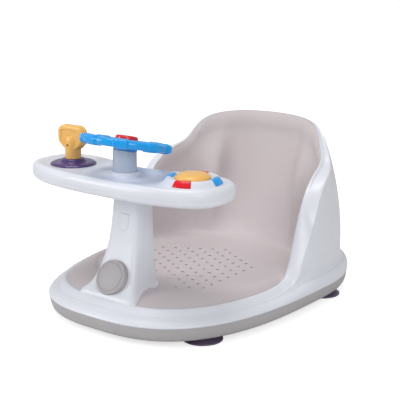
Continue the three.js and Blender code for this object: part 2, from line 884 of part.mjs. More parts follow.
const trayLowerShares = [[1.4, 0], [1, 0], [0.54, 0.06], [0.23, 0.27], [0.07, 0.62], [0.012, 1]];
const trayUpperShares = [
  [0.54, 0.95], [0.365, 1], [0.19, 0.88], [0.06, 0.62], [0.01, 0.32], [0.012, 0],
];
const trayFloorShares = [0.95, 0.73];

function trayLowerRows() {
  const top = traySeam - gap;
  return trayLowerShares.map(([inset, rise]) =>
    [trayRound * inset, trayBottom + (top - trayBottom) * rise]);
}

function trayUpperRows() {
  const sides = trayUpperShares.map(([inset, rise]) =>
    [trayRound * inset, traySeam + (trayRim - traySeam) * rise]);
  return [...trayFloorShares.map((inset) => [trayRound * inset, trayFloor]), ...sides];
}

// Insets count inwards, so the wall lies to the right of the lower rows and the left of the upper.
function trayShell(rows, side) {
  const inner = offsetRows(rows, side * trayWall).map(([inset, height]) =>
    [inset, side > 0 ? Math.min(height, traySeam - gap) : Math.max(height, traySeam)]);
  return cappedSkin([...rows, ...inner.reverse()].map(trayRing));
}

const trayScrewSpots = [
  ['front_right', trayScrewX, trayScrewFrontY], ['front_left', -trayScrewX, trayScrewFrontY],
  ['back_right', trayScrewX, trayScrewBackY], ['back_left', -trayScrewX, trayScrewBackY],
];
const stemScrewSpots = [['right', stemScrewX, stemScrewY], ['left', -stemScrewX, stemScrewY]];
const trayLowerFloor = trayBottom + trayWall;
const trayWebFoot = traySeam - gap - screwWeb;
const trayUnder = trayFloor - trayWall;

function addTrayLower() {
  const built = trayScrewSpots.reduce((solid, [, x, y]) => {
    const boss = rodAt([x, y], trayBossRadius, trayLowerFloor - gap, traySeam - gap, smallSides);
    const well = rodAt([x, y], screwHeadRadius + slideGap, trayBottom - gap, trayWebFoot, smallSides);
    const hole = rodAt([x, y], screwRadius + gap, trayWebFoot - gap, traySeam, screwSides);
    return cut(join(solid, boss), well, hole);
  }, trayShell(trayLowerRows(), 1));
  const holes = stemScrewSpots.map(([, x, y]) =>
    rodAt([x, y], screwRadius + gap, trayBottom - gap, trayLowerFloor + gap, screwSides));
  const pegTop = trayLowerFloor + springPegHeight;
  const pegRadius = springRadius - springWire - gap;
  const peg = rodAt([toyX, toyY], pegRadius, trayLowerFloor - gap, pegTop, smallSides);
  addPart('tray_lower', join(cut(built, ...holes), peg), 'white');
}

const domeBossTop = trayFloor + domeBossHeight;

const domeCrest = domeBossTop + domeCrestHeight;

// The boss's upper face, from the foot of its slope over the crest to the button's edge.
const domeSlopeRows = [
  [domeBossRadius, trayFloor + domeBossHeight * 0.42],
  [domeCrestRadius + domeCrestHeight * 0.3, domeCrest - domeCrestHeight * 0.3],
  [domeCrestRadius - domeCrestHeight * 1.3, domeCrest],
  [domeRadius + blockInset, domeBossTop + domeCrestHeight * 0.2],
];

function domeBoss() {
  const foot = domeBossRadius + domeBossSlope;
  const body = turned([
    [0, trayUnder], [foot, trayUnder], [foot, trayFloor], ...domeSlopeRows, [0, domeBossTop],
  ], roundSides);
  return carried(body, frameAt(toyX, toyY, 0, 0));
}

function columnBoss() {
  const foot = columnRadius + columnBossReach;
  const body = turned([
    [0, trayUnder], [foot, trayUnder], [foot, trayFloor],
    [columnRadius + columnBossReach * 0.5, trayFloor + columnBossHeight * 0.9],
    [columnRadius + columnBossReach * 0.3, trayFloor + columnBossHeight],
    [0, trayFloor + columnBossHeight],
  ], roundSides);
  return carried(body, frameAt(0, columnY, 0, 0));
}

// One block of the ring on the boss's slope, its upper face raised and its room grown all round.
function ringBlock(turnDegrees, grow, raise) {
  const [low, high] = [trayUnder, domeCrest + overrun];
  const body = turnedRing([
    ...offsetRows(domeSlopeRows, raise), ...offsetRows(domeSlopeRows, -blockDepth - grow).reverse(),
  ], roundSides * 2);
  const half = THREE.MathUtils.degToRad(blockDegrees / 2) + grow / domeCrestRadius;
  const shape = new THREE.Shape();
  shape.absarc(0, 0, domeBossRadius * 2, -half, half, false);
  shape.lineTo(0, 0);
  const wedge = plate(shape, high - low, { curveSegments: 5 }).translate([0, 0, low]);
  const turn = new THREE.Matrix4().makeRotationZ(THREE.MathUtils.degToRad(turnDegrees));
  return carried(body.intersect(wedge), frameAt(toyX, toyY, 0, 0).multiply(turn));
}

const ringBlocks = [
  ['front', blockTurnDegrees - 90, 'red'], ['right', blockTurnDegrees, 'blue'],
  ['back', blockTurnDegrees + 90, 'red'], ['left', blockTurnDegrees + 180, 'blue'],
];

function addTrayUpper() {
  const shell = join(trayShell(trayUpperRows(), -1), domeBoss(), columnBoss());
  const bosses = trayScrewSpots.map(([, x, y]) =>
    rodAt([x, y], trayBossRadius, traySeam, trayUnder + gap, smallSides));
  const bores = trayScrewSpots.map(([, x, y]) =>
    rodAt([x, y], screwRadius + gap, traySeam - gap, trayUnder + trayWall / 2, screwSides));
  const pockets = ringBlocks.map(([, turn]) => ringBlock(turn, gap, overrun));
  const wells = [
    [[0, columnY], columnRadius], [[-toyX, toyY], ringCollarRadius], [[toyX, toyY], domeRadius],
  ].map(([spot, radius]) => rodAt(spot, radius + slideGap, traySeam, trayRim + overrun, roundSides));
  addPart('tray_upper', cut(join(shell, ...bosses), ...bores, ...pockets, ...wells), 'white');
}

function addTrayStem() {
  const half = flangeWidth / 2;
  const flangeTop = trayBottom - gap;
  const levels = [postTop + gap, flangeTop];
  const flange = softBox([-half, half], [flangeFrontY, flangeBackY], flangeCorner, levels);
  const side = postWidth / 2 - postWall - slideGap;
  const front = postRibY + slideGap;
  const back = postBackY - postWall - slideGap;
  const corner = postCorner - postWall;
  const foot = postTop - stemDepth;
  const spigot = softBox([-side, side], [front, back], corner, [foot, postTop + gap * 2]);
  const room = softBox([stemWall - side, side - stemWall], [front + stemWall, back - stemWall],
    corner - stemWall, [foot - overrun, postTop + gap]);
  const bosses = stemScrewSpots.map(([, x, y]) =>
    rodAt([x, y], stemBossRadius, flangeTop - screwLength, flangeTop, smallSides));
  const bores = stemScrewSpots.map(([, x, y]) =>
    rodAt([x, y], screwRadius + gap, flangeTop - screwLength - gap, flangeTop + gap, screwSides));
  addPart('tray_stem', cut(join(cut(join(flange, spigot), room), ...bosses), ...bores), 'white');
}

// The wheel's frame: local +Z is its axle, which leans back towards the seat.
const wheelFrame = frameAt(0, wheelY, wheelHeight, -wheelTiltDegrees);
const wheelTop = wheelThickness / 2;
const wheelHubFoot = -wheelThickness / 2 - wheelHubDepth;
const wheelUnder = wheelHubFoot - slideGap;
const pocketFloor = wheelTop - wheelPocketDepth;

function addWheelColumn() {
  const bottom = trayLowerFloor + gap;
  const above = wheelHeight + overrun;
  const trim = (top) => carried(rod(wheelRadius, top - wheelHeight / 2, top, roundSides), wheelFrame);
  const tube = rodAt([0, columnY], columnRadius, bottom, above, roundSides).intersect(trim(wheelUnder));
  const bore = rodAt([0, columnY], columnRadius - columnWall, bottom - overrun, above, roundSides);
  const flangeTop = trayUnder - gap;
  const flangeRadius = columnRadius + columnFlange;
  const flange = rodAt([0, columnY], flangeRadius, flangeTop - columnFlangeWall, flangeTop, roundSides);
  const gripFoot = wheelUnder - axleGrip;
  const grip = carried(rod(axleRadius + columnWall, gripFoot, wheelUnder - gap, smallSides), wheelFrame);
  const hole = carried(rod(axleRadius + gap, gripFoot - gap, 0, smallSides), wheelFrame);
  const hollow = cut(join(tube, flange), bore.intersect(trim(wheelUnder - columnWall)));
  addPart('wheel_column', cut(join(hollow, grip), hole), 'grey');
}

// The gap between two spokes, as a hole in the wheel's outline.
function spokeGap(index) {
  const inner = wheelHubRadius;
  const outer = wheelRadius - wheelRimWidth;
  const start = (index / wheelSpokes) * Math.PI * 2;
  const end = ((index + 1) / wheelSpokes) * Math.PI * 2;
  const hole = new THREE.Path();
  const lean = (radius) => Math.asin(wheelSpokeWidth / 2 / radius);
  hole.absarc(0, 0, outer, start + lean(outer), end - lean(outer), false);
  hole.absarc(0, 0, inner, end - lean(inner), start + lean(inner), true);
  return hole;
}

// One grip pad of the rim and the plain stretch after it, as shares of the step between pads.
const lobeShares = [[-0.25, 0.1], [-0.17, 0.9], [0, 1], [0.17, 0.9], [0.25, 0.1], [0.5, 0]];

function wheelOutline() {
  const first = THREE.MathUtils.degToRad(wheelLobeTurnDegrees);
  const points = Array.from({ length: wheelLobes }, (_, i) => lobeShares.map(([along, out]) => {
    const angle = first + ((i + along) / wheelLobes) * Math.PI * 2;
    const reach = wheelRadius + wheelLobe * out;
    return new THREE.Vector2(Math.cos(angle) * reach, Math.sin(angle) * reach);
  }));
  const shape = new THREE.Shape(points.flat());
  for (let i = 0; i < wheelSpokes; i += 1) shape.holes.push(spokeGap(i));
  return shape;
}

function bevel(round) {
  const size = { bevelThickness: round, bevelSize: round, bevelOffset: -round };
  return { bevelEnabled: true, bevelSegments: 2, ...size };
}

function addSteeringWheel() {
  const options = { ...bevel(wheelRound), curveSegments: 5 };
  const disc = plate(wheelOutline(), wheelThickness - wheelRound * 2, options);
  const body = disc.translate([0, 0, wheelRound - wheelThickness / 2]);
  const hub = rod(columnRadius, wheelHubFoot, 0, roundSides);
  const pocket = rod(hornRadius + slideGap, pocketFloor, wheelTop + overrun, roundSides);
  const hole = rod(axleRadius + gap, wheelHubFoot - overrun, wheelThickness, smallSides);
  addPart('steering_wheel', carried(cut(join(body, hub), pocket, hole), wheelFrame), 'blue');
}

function addWheelAxle() {
  const head = pocketFloor + gap;
  const bottom = wheelUnder - axleGrip + gap;
  const body = turned([
    [0, bottom], [axleRadius, bottom], [axleRadius, head], [axleHeadRadius, head],
    [axleHeadRadius, head + axleHeadHeight], [0, head + axleHeadHeight],
  ], smallSides);
  addPart('wheel_axle', carried(body, wheelFrame), 'steel');
}

function addHornButton() {
  const top = wheelTop + hornStand;
  const foot = pocketFloor + hornTravel + gap * 2;
  const body = turned([
    [0, top - hornWall], [hornRadius - hornWall, top - hornWall - hornRound / 2],
    [hornRadius - hornWall, foot], [hornRadius, foot], [hornRadius, top - hornRound],
    [hornRadius - hornRound * 0.3, top - hornRound * 0.3], [hornRadius - hornRound, top - gap],
    [hornRadius * 0.45, top], [0, top],
  ], roundSides);
  addPart('horn_button', carried(body, wheelFrame), 'red');
}

// The key and its socket ring
const ringSeat = trayFloor + gap;
const ringShares = [
  [0.96, 0], [1, 0.08], [0.97, 0.22], [0.9, 0.36], [0.8, 0.44], [0.68, 0.42], [0.57, 0.5], [0.5, 0.88],
  [0.45, 1],
];
const keySeat = ringSeat + ringHeight * lastOf(ringShares)[1] + gap;
const collarFoot = trayUnder - ringCollarDepth;
const keySpot = [-toyX, toyY];

function addKeyRing() {
  const bore = keyTailRadius + slideGap;
  const dish = ringShares.map(([radius, height]) => [ringRadius * radius, ringSeat + ringHeight * height]);
  const body = turnedRing([
    [bore, collarFoot], [ringCollarRadius, collarFoot], [ringCollarRadius, ringSeat],
    ...dish, [bore, lastOf(dish)[1]],
  ], roundSides);
  addPart('key_ring', carried(body, frameAt(...keySpot, 0, 0)), 'purple');
}

const bowShares = [
  [0.5, -1], [1, -0.42], [1, 0.62], [0.7, 1], [-0.7, 1], [-1, 0.62], [-1, -0.42], [-0.5, -1],
];

function bowPlate(inset, low, high, options) {
  const halfWidth = keyBowWidth / 2 - inset;
  const halfHeight = keyBowHeight / 2 - inset;
  const corners = bowShares.map(([x, y]) => new THREE.Vector2(x * halfWidth, y * halfHeight));
  const shape = new THREE.Shape(softened(corners, (keyBowRound * halfHeight) / keyBowHeight));
  return plate(shape, high - low, options).translate([0, 0, low]);
}

function keyBow() {
  const face = keyBowThickness / 2;
  const body = bowPlate(0, keyBevel - face, face - keyBevel, bevel(keyBevel));
  const front = bowPlate(keyRecessInset, face - keyRecess, face + overrun, {});
  const back = bowPlate(keyRecessInset, -face - overrun, keyRecess - face, {});
  return carried(cut(body, front, back), frameAt(...keySpot, keyBowCentre, 90));
}

function keyHole() {
  const through = rod(keyHoleRadius, -keyShaftRadius * 2, keyShaftRadius * 2, screwSides);
  return carried(through, frameAt(...keySpot, keyBowCentre - keyBowHeight * 0.3, 90));
}

const washerTop = collarFoot - slideGap;

function addKey() {
  const tail = washerTop + gap;
  const shaft = turned([
    [0, tail], [keyTailRadius, tail], [keyTailRadius, keySeat], [keyShaftRadius, keySeat],
    [keyShaftRadius, keyShaftShoulder], [keyShaftRadius * 0.86, (keyShaftShoulder + keyShaftTop) / 2],
    [keyShaftRadius * 0.45, keyShaftTop - gap], [0, keyShaftTop],
  ], roundSides);
  const bore = rodAt(keySpot, screwRadius + gap, tail - gap, tail + screwLength, screwSides);
  const body = join(carried(shaft, frameAt(...keySpot, 0, 0)), keyBow());
  addPart('key', cut(body, keyHole(), bore), 'yellow');
}

function addKeyWasher() {
  const bottom = washerTop - keyWasherWall;
  const bore = screwRadius + gap;
  const body = turnedRing([
    [bore, bottom], [keyWasherRadius, bottom], [keyWasherRadius, washerTop], [bore, washerTop],
  ], smallSides);
  addPart('key_washer', carried(body, frameAt(...keySpot, 0, 0)), 'white');
}

// The dome button and its spring
const domeShares = [[1, 0.2], [0.97, 0.38], [0.87, 0.62], [0.68, 0.82], [0.4, 0.95], [0, 1]];
const springFoot = trayLowerFloor + gap;
const springTop = trayUnder;

function addDomeButton() {
  const lipFoot = trayUnder - gap - domeLipWall;
  const outer = domeShares.map(([radius, height]) =>
    [domeRadius * radius, domeBossTop + domeHeight * height]);
  const inner = domeShares.map(([radius, height]) =>
    [(domeRadius - domeWall) * radius, domeBossTop - domeWall + domeHeight * height]);
  const body = turned([
    ...inner.reverse(), [domeRadius - domeWall, lipFoot], [domeRadius + domeLip, lipFoot],
    [domeRadius + domeLip, trayUnder - gap], [domeRadius, trayUnder - gap], ...outer,
  ], roundSides);
  const peg = rod(domePegRadius, springTop + gap, domeBossTop + domeHeight - domeWall, smallSides);
  addPart('dome_button', carried(join(body, peg), frameAt(toyX, toyY, 0, 0)), 'yellow');
}

function addDomeSpring() {
  const steps = springTurns * springSteps;
  const wire = springWire / 2;
  const points = Array.from({ length: steps + 1 }, (_, i) => {
    const angle = (i / springSteps) * Math.PI * 2;
    const height = springFoot + wire + (springTop - springFoot - springWire) * (i / steps);
    const [x, y] = [Math.cos(angle) * springRadius, Math.sin(angle) * springRadius];
    return new THREE.Vector3(toyX + x, toyY + y, height);
  });
  const section = new THREE.Shape(Array.from({ length: springSides }, (_, i) => {
    const angle = (i / springSides) * Math.PI * 2;
    return new THREE.Vector2(Math.cos(angle) * wire, Math.sin(angle) * wire);
  }));
  const extrudePath = new THREE.CatmullRomCurve3(points);
  addPart('dome_spring', plate(section, 0, { extrudePath, steps }), 'steel');
}

addSeatShell();
addSeatLiner();
addBaseTray();
cupNames.forEach((name, i) => addCup(`suction_cup_${name}`, cupSpots[i]));
baseScrewSpots.forEach((spot, i) => addScrewUp(`base_screw_${i + 1}`, spot, bossMeeting - screwWeb));
addPostCap();
addReleaseButton();
addTrayStem();
addTrayLower();
addTrayUpper();
for (const [name, ...spot] of trayScrewSpots) addScrewUp(`tray_screw_${name}`, spot, trayWebFoot);
for (const [name, ...spot] of stemScrewSpots) addScrewDown(`stem_screw_${name}`, spot, trayLowerFloor);
for (const [name, turn, finish] of ringBlocks) {
  addPart(`ring_block_${name}`, ringBlock(turn, 0, blockStand), finish);
}
addWheelColumn();
addWheelAxle();
addSteeringWheel();
addHornButton();
addKeyRing();
addKey();
addKeyWasher();
addScrewUp('key_screw', keySpot, washerTop - keyWasherWall);
addDomeButton();
addDomeSpring();

export default part;
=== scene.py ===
from itertools import accumulate
from math import copysign, cos, exp, hypot, pi, radians, sin, sqrt

import bpy
from mathutils import Matrix, Vector


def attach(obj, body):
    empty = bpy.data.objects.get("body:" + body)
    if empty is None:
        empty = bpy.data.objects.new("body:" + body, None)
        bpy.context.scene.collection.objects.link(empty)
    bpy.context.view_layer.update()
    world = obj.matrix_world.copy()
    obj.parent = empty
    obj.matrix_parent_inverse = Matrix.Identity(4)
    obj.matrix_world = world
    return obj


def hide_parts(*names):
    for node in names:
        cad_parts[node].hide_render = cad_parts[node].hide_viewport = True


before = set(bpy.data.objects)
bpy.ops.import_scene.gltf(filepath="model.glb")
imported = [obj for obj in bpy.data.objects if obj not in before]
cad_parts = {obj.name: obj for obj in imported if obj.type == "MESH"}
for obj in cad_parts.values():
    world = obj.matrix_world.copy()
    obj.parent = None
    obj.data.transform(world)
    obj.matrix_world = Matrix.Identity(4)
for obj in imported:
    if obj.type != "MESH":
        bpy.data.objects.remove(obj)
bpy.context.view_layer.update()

MM = 0.001
GAP, SLIDE_GAP, OVERRUN, SKIN_WALL = 0.3, 0.4, 10, 2.8

# Sizes in millimetres and angles in degrees from the middle of the back, the same as the CAD part's
BASE_WIDTH, BASE_LENGTH, WIDEST_SHARE = 342, 450, 0.62
FRONT_POWER, BACK_POWER = 2.8, 2.39
CUP_HEIGHT, SEAM_HEIGHT, RIM_HEIGHT, PAN_HEIGHT, BACK_HEIGHT = 8.6, 28, 46, 50, 237
RIM_WIDTH, RIM_FALL, RIM_ROUND = 27, 8.3, 9.5
WALL_FOOT_INSET, WALL_FOOT_RISE, WALL_POWER = 11, 9.5, 2.2
WING_WIDTH, CREASE_DROP, WALL_TOP_DEPTH = 20, 24, 9
APRON_CROWN, APRON_START, APRON_END, PAN_REACH = 4.5, 96, 122, 192
LIP_REACH, LIP_CROWN, LINER_WALL = 5, 1.5, 2.7
BOLSTER_DEPTH, BOLSTER_WIDTH, BOLSTER_FOOT, BOLSTER_DRIFT = 14, 8, 52, 15
FRONT_REACH = BASE_LENGTH * WIDEST_SHARE
BACK_REACH = BASE_LENGTH - FRONT_REACH
WIDEST_Y = BASE_LENGTH / 2 - BACK_REACH
SHELL_UNDER = PAN_HEIGHT - LINER_WALL - GAP - SKIN_WALL

# Only the picture has these: the rolled upper edge of the back, the lower lip behind it, which comes
# up again between two angles, and the bolsters' soft heads
ROLL_DEPTH, ROLL_TALL, ROLL_LEAN = 4.5, 28, 0.6
BACK_LIP_FALL, LIP_RISE_START, LIP_RISE_END = 4.5, 80, 100
BOLSTER_POWERS, BOLSTER_HEAD_SHARES = (0.6, 1.5), (0.5, 0.9)

# Fineness: steps up the sitting surface, and how many rows on the hidden side share one
SITTING_STEPS, HIDDEN_STEP = 34, 3

# Angle from the middle of the back, then the share of the size that the table's name tells
EDGE_RISE_SHARES = [
    (0, 1), (20, 0.997), (36, 0.98), (45, 0.957), (51, 0.92), (56, 0.85), (61, 0.768),
    (65, 0.738), (71, 0.712), (78, 0.675), (87, 0.597), (95, 0.466), (100, 0.346),
    (104, 0.22), (108, 0.105), (112, 0.037), (118, 0.008), (128, 0), (180, 0),
]
EDGE_INSET_SHARES = [
    (0, 1.63), (25, 1.78), (45, 1.9), (55, 1.7), (62, 1.54), (70, 1.5), (78, 1.46),
    (87, 1.37), (95, 1.3), (103, 1.21), (111, 1.13), (118, 1.04), (128, 1), (180, 1),
]
WING_SHARES = [
    (0, 0.34), (42, 0.38), (55, 0.52), (62, 0.66), (70, 0.85), (78, 0.95), (87, 1),
    (95, 1), (103, 0.9), (111, 0.78), (120, 0.65), (180, 0.65),
]
DROP_SHARES = [
    (0, 0.1), (78, 0.12), (84, 0.22), (90, 0.6), (95, 1), (100, 0.96), (105, 0.66),
    (110, 0.24), (115, 0), (180, 0),
]
PAN_SHARES = [
    (0, 0.24), (20, 0.26), (35, 0.315), (48, 0.4), (60, 0.485), (72, 0.56), (85, 0.6),
    (99, 0.635), (112, 0.695), (125, 0.79), (145, 0.96), (165, 1), (180, 1),
]

# Share of the way from the pan to the edge, then of the rise
PAN_RING_SHARES = (0.55, 0.8)
WALL_RISE_SHARES = [(0, 0), (0.24, 0.02), (0.45, 0.1), (0.6, 0.25), (0.73, 0.46), (0.87, 0.74), (1, 1)]
APRON_RISE_SHARES = [(0, 0), (0.24, 0.88), (0.45, 1), (0.6, 0.93), (0.73, 0.75), (0.87, 0.4), (1, 0)]

# Stretches of stations on one side: first and last angle, then how many
SPANS = [(0, 48, 24), (48, 84, 30), (84, 120, 40), (120, 138, 12), (138, 162, 24), (162, 180, 14)]


def lerp(a, b, t):
    return a + (b - a) * t


def clamp(value):
    return min(max(value, 0), 1)


def read_table(table, value, loose_end=False):
    """A smooth curve through a table that never swings past its rows."""
    i = 0
    while i < len(table) - 2 and table[i + 1][0] < value:
        i += 1

    def chord(k):
        return (table[k + 1][1] - table[k][1]) / (table[k + 1][0] - table[k][0])

    def slope(k):
        if k == 0:
            return 0
        if k == len(table) - 1:
            return chord(k - 1) if loose_end else 0
        before, after = chord(k - 1), chord(k)
        return 0 if before * after <= 0 else 2 * before * after / (before + after)

    (x0, y0), (x1, y1) = table[i:i + 2]
    span, rise = x1 - x0, y1 - y0
    t = clamp((value - x0) / span)
    a, b = slope(i) * span, slope(i + 1) * span
    return y0 + t * a + t * t * (3 * rise - 2 * a - b) + t ** 3 * (a + b - 2 * rise)


def smoothstep(value, low, high):
    t = clamp((value - low) / (high - low))
    return t * t * (3 - 2 * t)


def oval_reach(across, along, half_width, half_depth, power):
    """How far an oval reaches in a direction."""
    return ((abs(across) / half_width) ** power + (abs(along) / half_depth) ** power) ** (-1 / power)


def base_reach(degrees):
    across, along = sin(radians(degrees)), cos(radians(degrees))
    if along < 0:
        return oval_reach(across, along, BASE_WIDTH / 2, FRONT_REACH, FRONT_POWER)
    return oval_reach(across, along, BASE_WIDTH / 2, BACK_REACH, BACK_POWER)


def place(degrees, reach, height):
    angle = radians(degrees)
    return (sin(angle) * reach, WIDEST_Y + cos(angle) * reach, height)


def station_degrees():
    side = []
    for start, end, count in SPANS:
        side += [start + (end - start) * i / count for i in range(count)]
    return side + [180] + [-value for value in side[:0:-1]]


STATIONS = station_degrees()


def apron_at(degrees):
    """Zero along the back and the wings, and one along the low front."""
    return smoothstep(abs(degrees), APRON_START, APRON_END)


def bolster_at(degrees, rise, stretch):
    away = (abs(degrees) - BOLSTER_FOOT + BOLSTER_DRIFT * rise) / BOLSTER_WIDTH
    power = lerp(*BOLSTER_POWERS, smoothstep(rise, *BOLSTER_HEAD_SHARES))
    window = sin(pi * clamp(rise)) ** power
    return BOLSTER_DEPTH * exp(-away * away) * window * stretch


def roll_at(drop, stretch):
    """The rolled upper edge of the back: full a little below the edge and nothing at it."""
    t = clamp(drop / ROLL_TALL) ** ROLL_LEAN
    return ROLL_DEPTH * sin(pi * t) ** 2 * stretch ** 2


def sitting_rows(degrees):
    """The sitting surface at one station, from the pan to the upper edge."""
    d = abs(degrees)
    inner = PAN_REACH * read_table(PAN_SHARES, d)
    outer = base_reach(degrees) - RIM_WIDTH * read_table(EDGE_INSET_SHARES, d)
    rise = lerp(RIM_HEIGHT, BACK_HEIGHT, read_table(EDGE_RISE_SHARES, d)) - PAN_HEIGHT
    stretch = clamp(rise / (BACK_HEIGHT - PAN_HEIGHT))
    rows = [(inner * ring, PAN_HEIGHT) for ring in PAN_RING_SHARES]
    for k in range(SITTING_STEPS + 1):
        u = k / SITTING_STEPS
        share = read_table(WALL_RISE_SHARES, u, loose_end=True)
        crown = APRON_CROWN * read_table(APRON_RISE_SHARES, u, loose_end=True) * apron_at(degrees)
        swell = bolster_at(degrees, share, stretch) + roll_at(rise * (1 - share), stretch)
        rows.append((lerp(inner, outer, u) - swell, PAN_HEIGHT + rise * share + crown))
    return rows


def offset_rows(rows, distance, closed=False):
    """Rows moved to the right-hand side of their own line."""
    moved = []
    count = len(rows)
    for i, (x, z) in enumerate(rows):
        before = rows[i - 1 if closed else max(i - 1, 0)]
        after = rows[(i + 1) % count if closed else min(i + 1, count - 1)]
        dx, dz = after[0] - before[0], after[1] - before[1]
        length = hypot(dx, dz)
        moved.append((x + dz / length * distance, z - dx / length * distance))
    return moved


def heading(rows):
    """The direction in which the rows end."""
    (x0, z0), (x1, z1) = rows[-2], rows[-1]
    length = hypot(x1 - x0, z1 - z0)
    return (x1 - x0) / length, (z1 - z0) / length


def onward(row, along, distance):
    return (row[0] + along[0] * distance, row[1] + along[1] * distance)


def curve_through(points, steps):
    """A Catmull-Rom curve through 2-D points."""
    out = []
    for i in range(len(points) - 1):
        p0, p1 = points[max(i - 1, 0)], points[i]
        p2, p3 = points[i + 1], points[min(i + 2, len(points) - 1)]
        for k in range(steps):
            t = k / steps
            row = []
            for a, b, c, d in zip(p0, p1, p2, p3):
                row.append(0.5 * (2 * b + (c - a) * t + (2 * a - 5 * b + 4 * c - d) * t * t
                                  + (3 * b - a - 3 * c + d) * t ** 3))
            out.append(tuple(row))
    return out + [points[-1]]


def scaled(shares, start, run, low, tall):
    """Rows from a table of shares of a run and of a height."""
    return [(start + run * across, low + tall * up) for across, up in shares]


# Meshes
def add_object(name, data):
    obj = bpy.data.objects.new(name, data)
    bpy.context.scene.collection.objects.link(obj)
    return obj


def mesh_object(name, points, faces, scale=MM):
    mesh = bpy.data.meshes.new(name)
    mesh.from_pydata([(x * scale, y * scale, z * scale) for x, y, z in points], [], faces)
    mesh.validate()
    return add_object(name, mesh)


def skin(name, rings, closed_tube=False):
    """A closed surface through rings of equal count, fanned shut at both ends or joined end to end."""
    count = len(rings[0])
    points = [p for ring in rings for p in ring]
    faces = []
    last = len(rings) if closed_tube else len(rings) - 1
    for k in range(last):
        a, b = k * count, ((k + 1) % len(rings)) * count
        for i in range(count):
            j = (i + 1) % count
            faces.append((a + i, a + j, b + j, b + i))
    if not closed_tube:
        for start, flip in ((0, True), ((len(rings) - 1) * count, False)):
            ring = points[start:start + count]
            points.append(tuple(sum(c) / count for c in zip(*ring)))
            for i in range(count):
                j = (i + 1) % count
                fan = (start + i, start + j, len(points) - 1)
                faces.append(fan[::-1] if flip else fan)
    obj = mesh_object(name, points, faces)
    face_out(obj)
    return obj


def face_out(obj):
    mesh = obj.data
    mesh.update()
    volume = 0
    mesh.calc_loop_triangles()
    for tri in mesh.loop_triangles:
        a, b, c = (mesh.vertices[v].co for v in tri.vertices)
        volume += a.dot(b.cross(c))
    if volume < 0:
        mesh.flip_normals()


def circle(sides):
    """The cosine and sine of each of a circle's angles."""
    angles = [2 * pi * i / sides for i in range(sides)]
    return [(cos(angle), sin(angle)) for angle in angles]


def turned(name, profile, sides=96, closed_tube=False):
    """A profile of radius and height turned round the Z axis."""
    rings = [[(c * radius, s * radius, height) for c, s in circle(sides)] for radius, height in profile]
    return skin(name, rings, closed_tube)


def carry(obj, matrix):
    """Moves a mesh by a matrix given in millimetres."""
    moved = matrix.copy()
    moved.translation = matrix.translation * MM
    obj.data.transform(moved)
    return obj


def frame_at(x, y, z=0, tilt_degrees=0):
    return Matrix.Translation((x, y, z)) @ Matrix.Rotation(radians(tilt_degrees), 4, "X")


def rod(radius, low, high, sides=32):
    return turned("rod", [(radius, low), (radius, high)], sides)


def rod_at(spot, radius, low, high, sides=32):
    return carry(rod(radius, low, high, sides), frame_at(*spot))


def plain(outline, low, high):
    return skin("plain", [[(x, y, z) for x, y in outline] for z in (low, high)])


def boolean(obj, other, operation):
    modifier = obj.modifiers.new("cut", "BOOLEAN")
    modifier.operation = operation
    modifier.solver = "MANIFOLD"
    modifier.object = other
    depsgraph = bpy.context.evaluated_depsgraph_get()
    mesh = bpy.data.meshes.new_from_object(obj.evaluated_get(depsgraph))
    obj.modifiers.clear()
    old = obj.data
    obj.data = mesh
    bpy.data.meshes.remove(old)
    bpy.data.objects.remove(other)
    return obj


def cut(obj, *others):
    for other in others:
        boolean(obj, other, "DIFFERENCE")
    return obj


def union(obj, *others):
    for other in others:
        boolean(obj, other, "UNION")
    return obj


def merged(objs):
    """Several meshes that don't touch, as one."""
    points, faces = [], []
    for obj in objs:
        start = len(points)
        points += [tuple(v.co) for v in obj.data.vertices]
        faces += [tuple(start + v for v in p.vertices) for p in obj.data.polygons]
        bpy.data.objects.remove(obj)
    return mesh_object("merged", points, faces, scale=1)


def oblong(left, right, front, back):
    return [(left, front), (right, front), (right, back), (left, back)]


def box(size, centre):
    (w, d, h), (x, y, z) = size, centre
    return plain(oblong(x - w / 2, x + w / 2, y - d / 2, y + d / 2), z - h / 2, z + h / 2)


def look(obj, material, body, sharp=32):
    """Finishes a piece that is named for its CAD node: its material and smooth shading, its body, and
    the node hidden.
    """
    replaces = [obj.name.removesuffix("_look")]
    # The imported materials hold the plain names, so Blender has put a number behind a dot
    mesh = obj.data
    mesh.materials.clear()
    mesh.materials.append(material)
    mesh.shade_smooth()
    mesh.set_sharp_from_angle(angle=radians(sharp))
    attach(obj, body)
    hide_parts(*replaces)


def softened(corners, reach, steps=8):
    """A closed outline with each corner rounded from a set distance before it to as far past it."""
    points = []
    for i, corner in enumerate(corners):
        corner = Vector(corner)
        before, after = Vector(corners[i - 1]), Vector(corners[(i + 1) % len(corners)])
        a = corner + (before - corner).normalized() * reach
        b = corner + (after - corner).normalized() * reach
        for k in range(steps + 1):
            t = k / steps
            points.append(tuple(a * (1 - t) ** 2 + corner * 2 * t * (1 - t) + b * t * t))
    return points


def inset_outline(points, distance):
    """A counter-clockwise outline moved inwards."""
    return offset_rows(points, -distance, closed=True)


def pillow(name, outline, low, high, round_low, round_high, steps=6):
    """An outline pushed up from low to high with rounded edges."""
    rings = []
    for base, radius, sign in ((low, round_low, 1), (high, round_high, -1)):
        part = []
        for k in range(steps + 1):
            turn = pi / 2 * k / steps
            inset = radius * (1 - sin(turn))
            height = base + sign * radius * (1 - cos(turn))
            part.append([(x, y, height) for x, y in inset_outline(outline, inset)])
        rings += part if sign > 0 else part[::-1]
    return skin(name, rings)


def round_edge(radius, top, edge, steps=6):
    """Rows of a quarter round from the side of a disc to its upper face."""
    rows = []
    for k in range(steps + 1):
        turn = pi / 2 * k / steps
        rows.append((radius - edge * (1 - cos(turn)), top - edge * (1 - sin(turn))))
    return rows


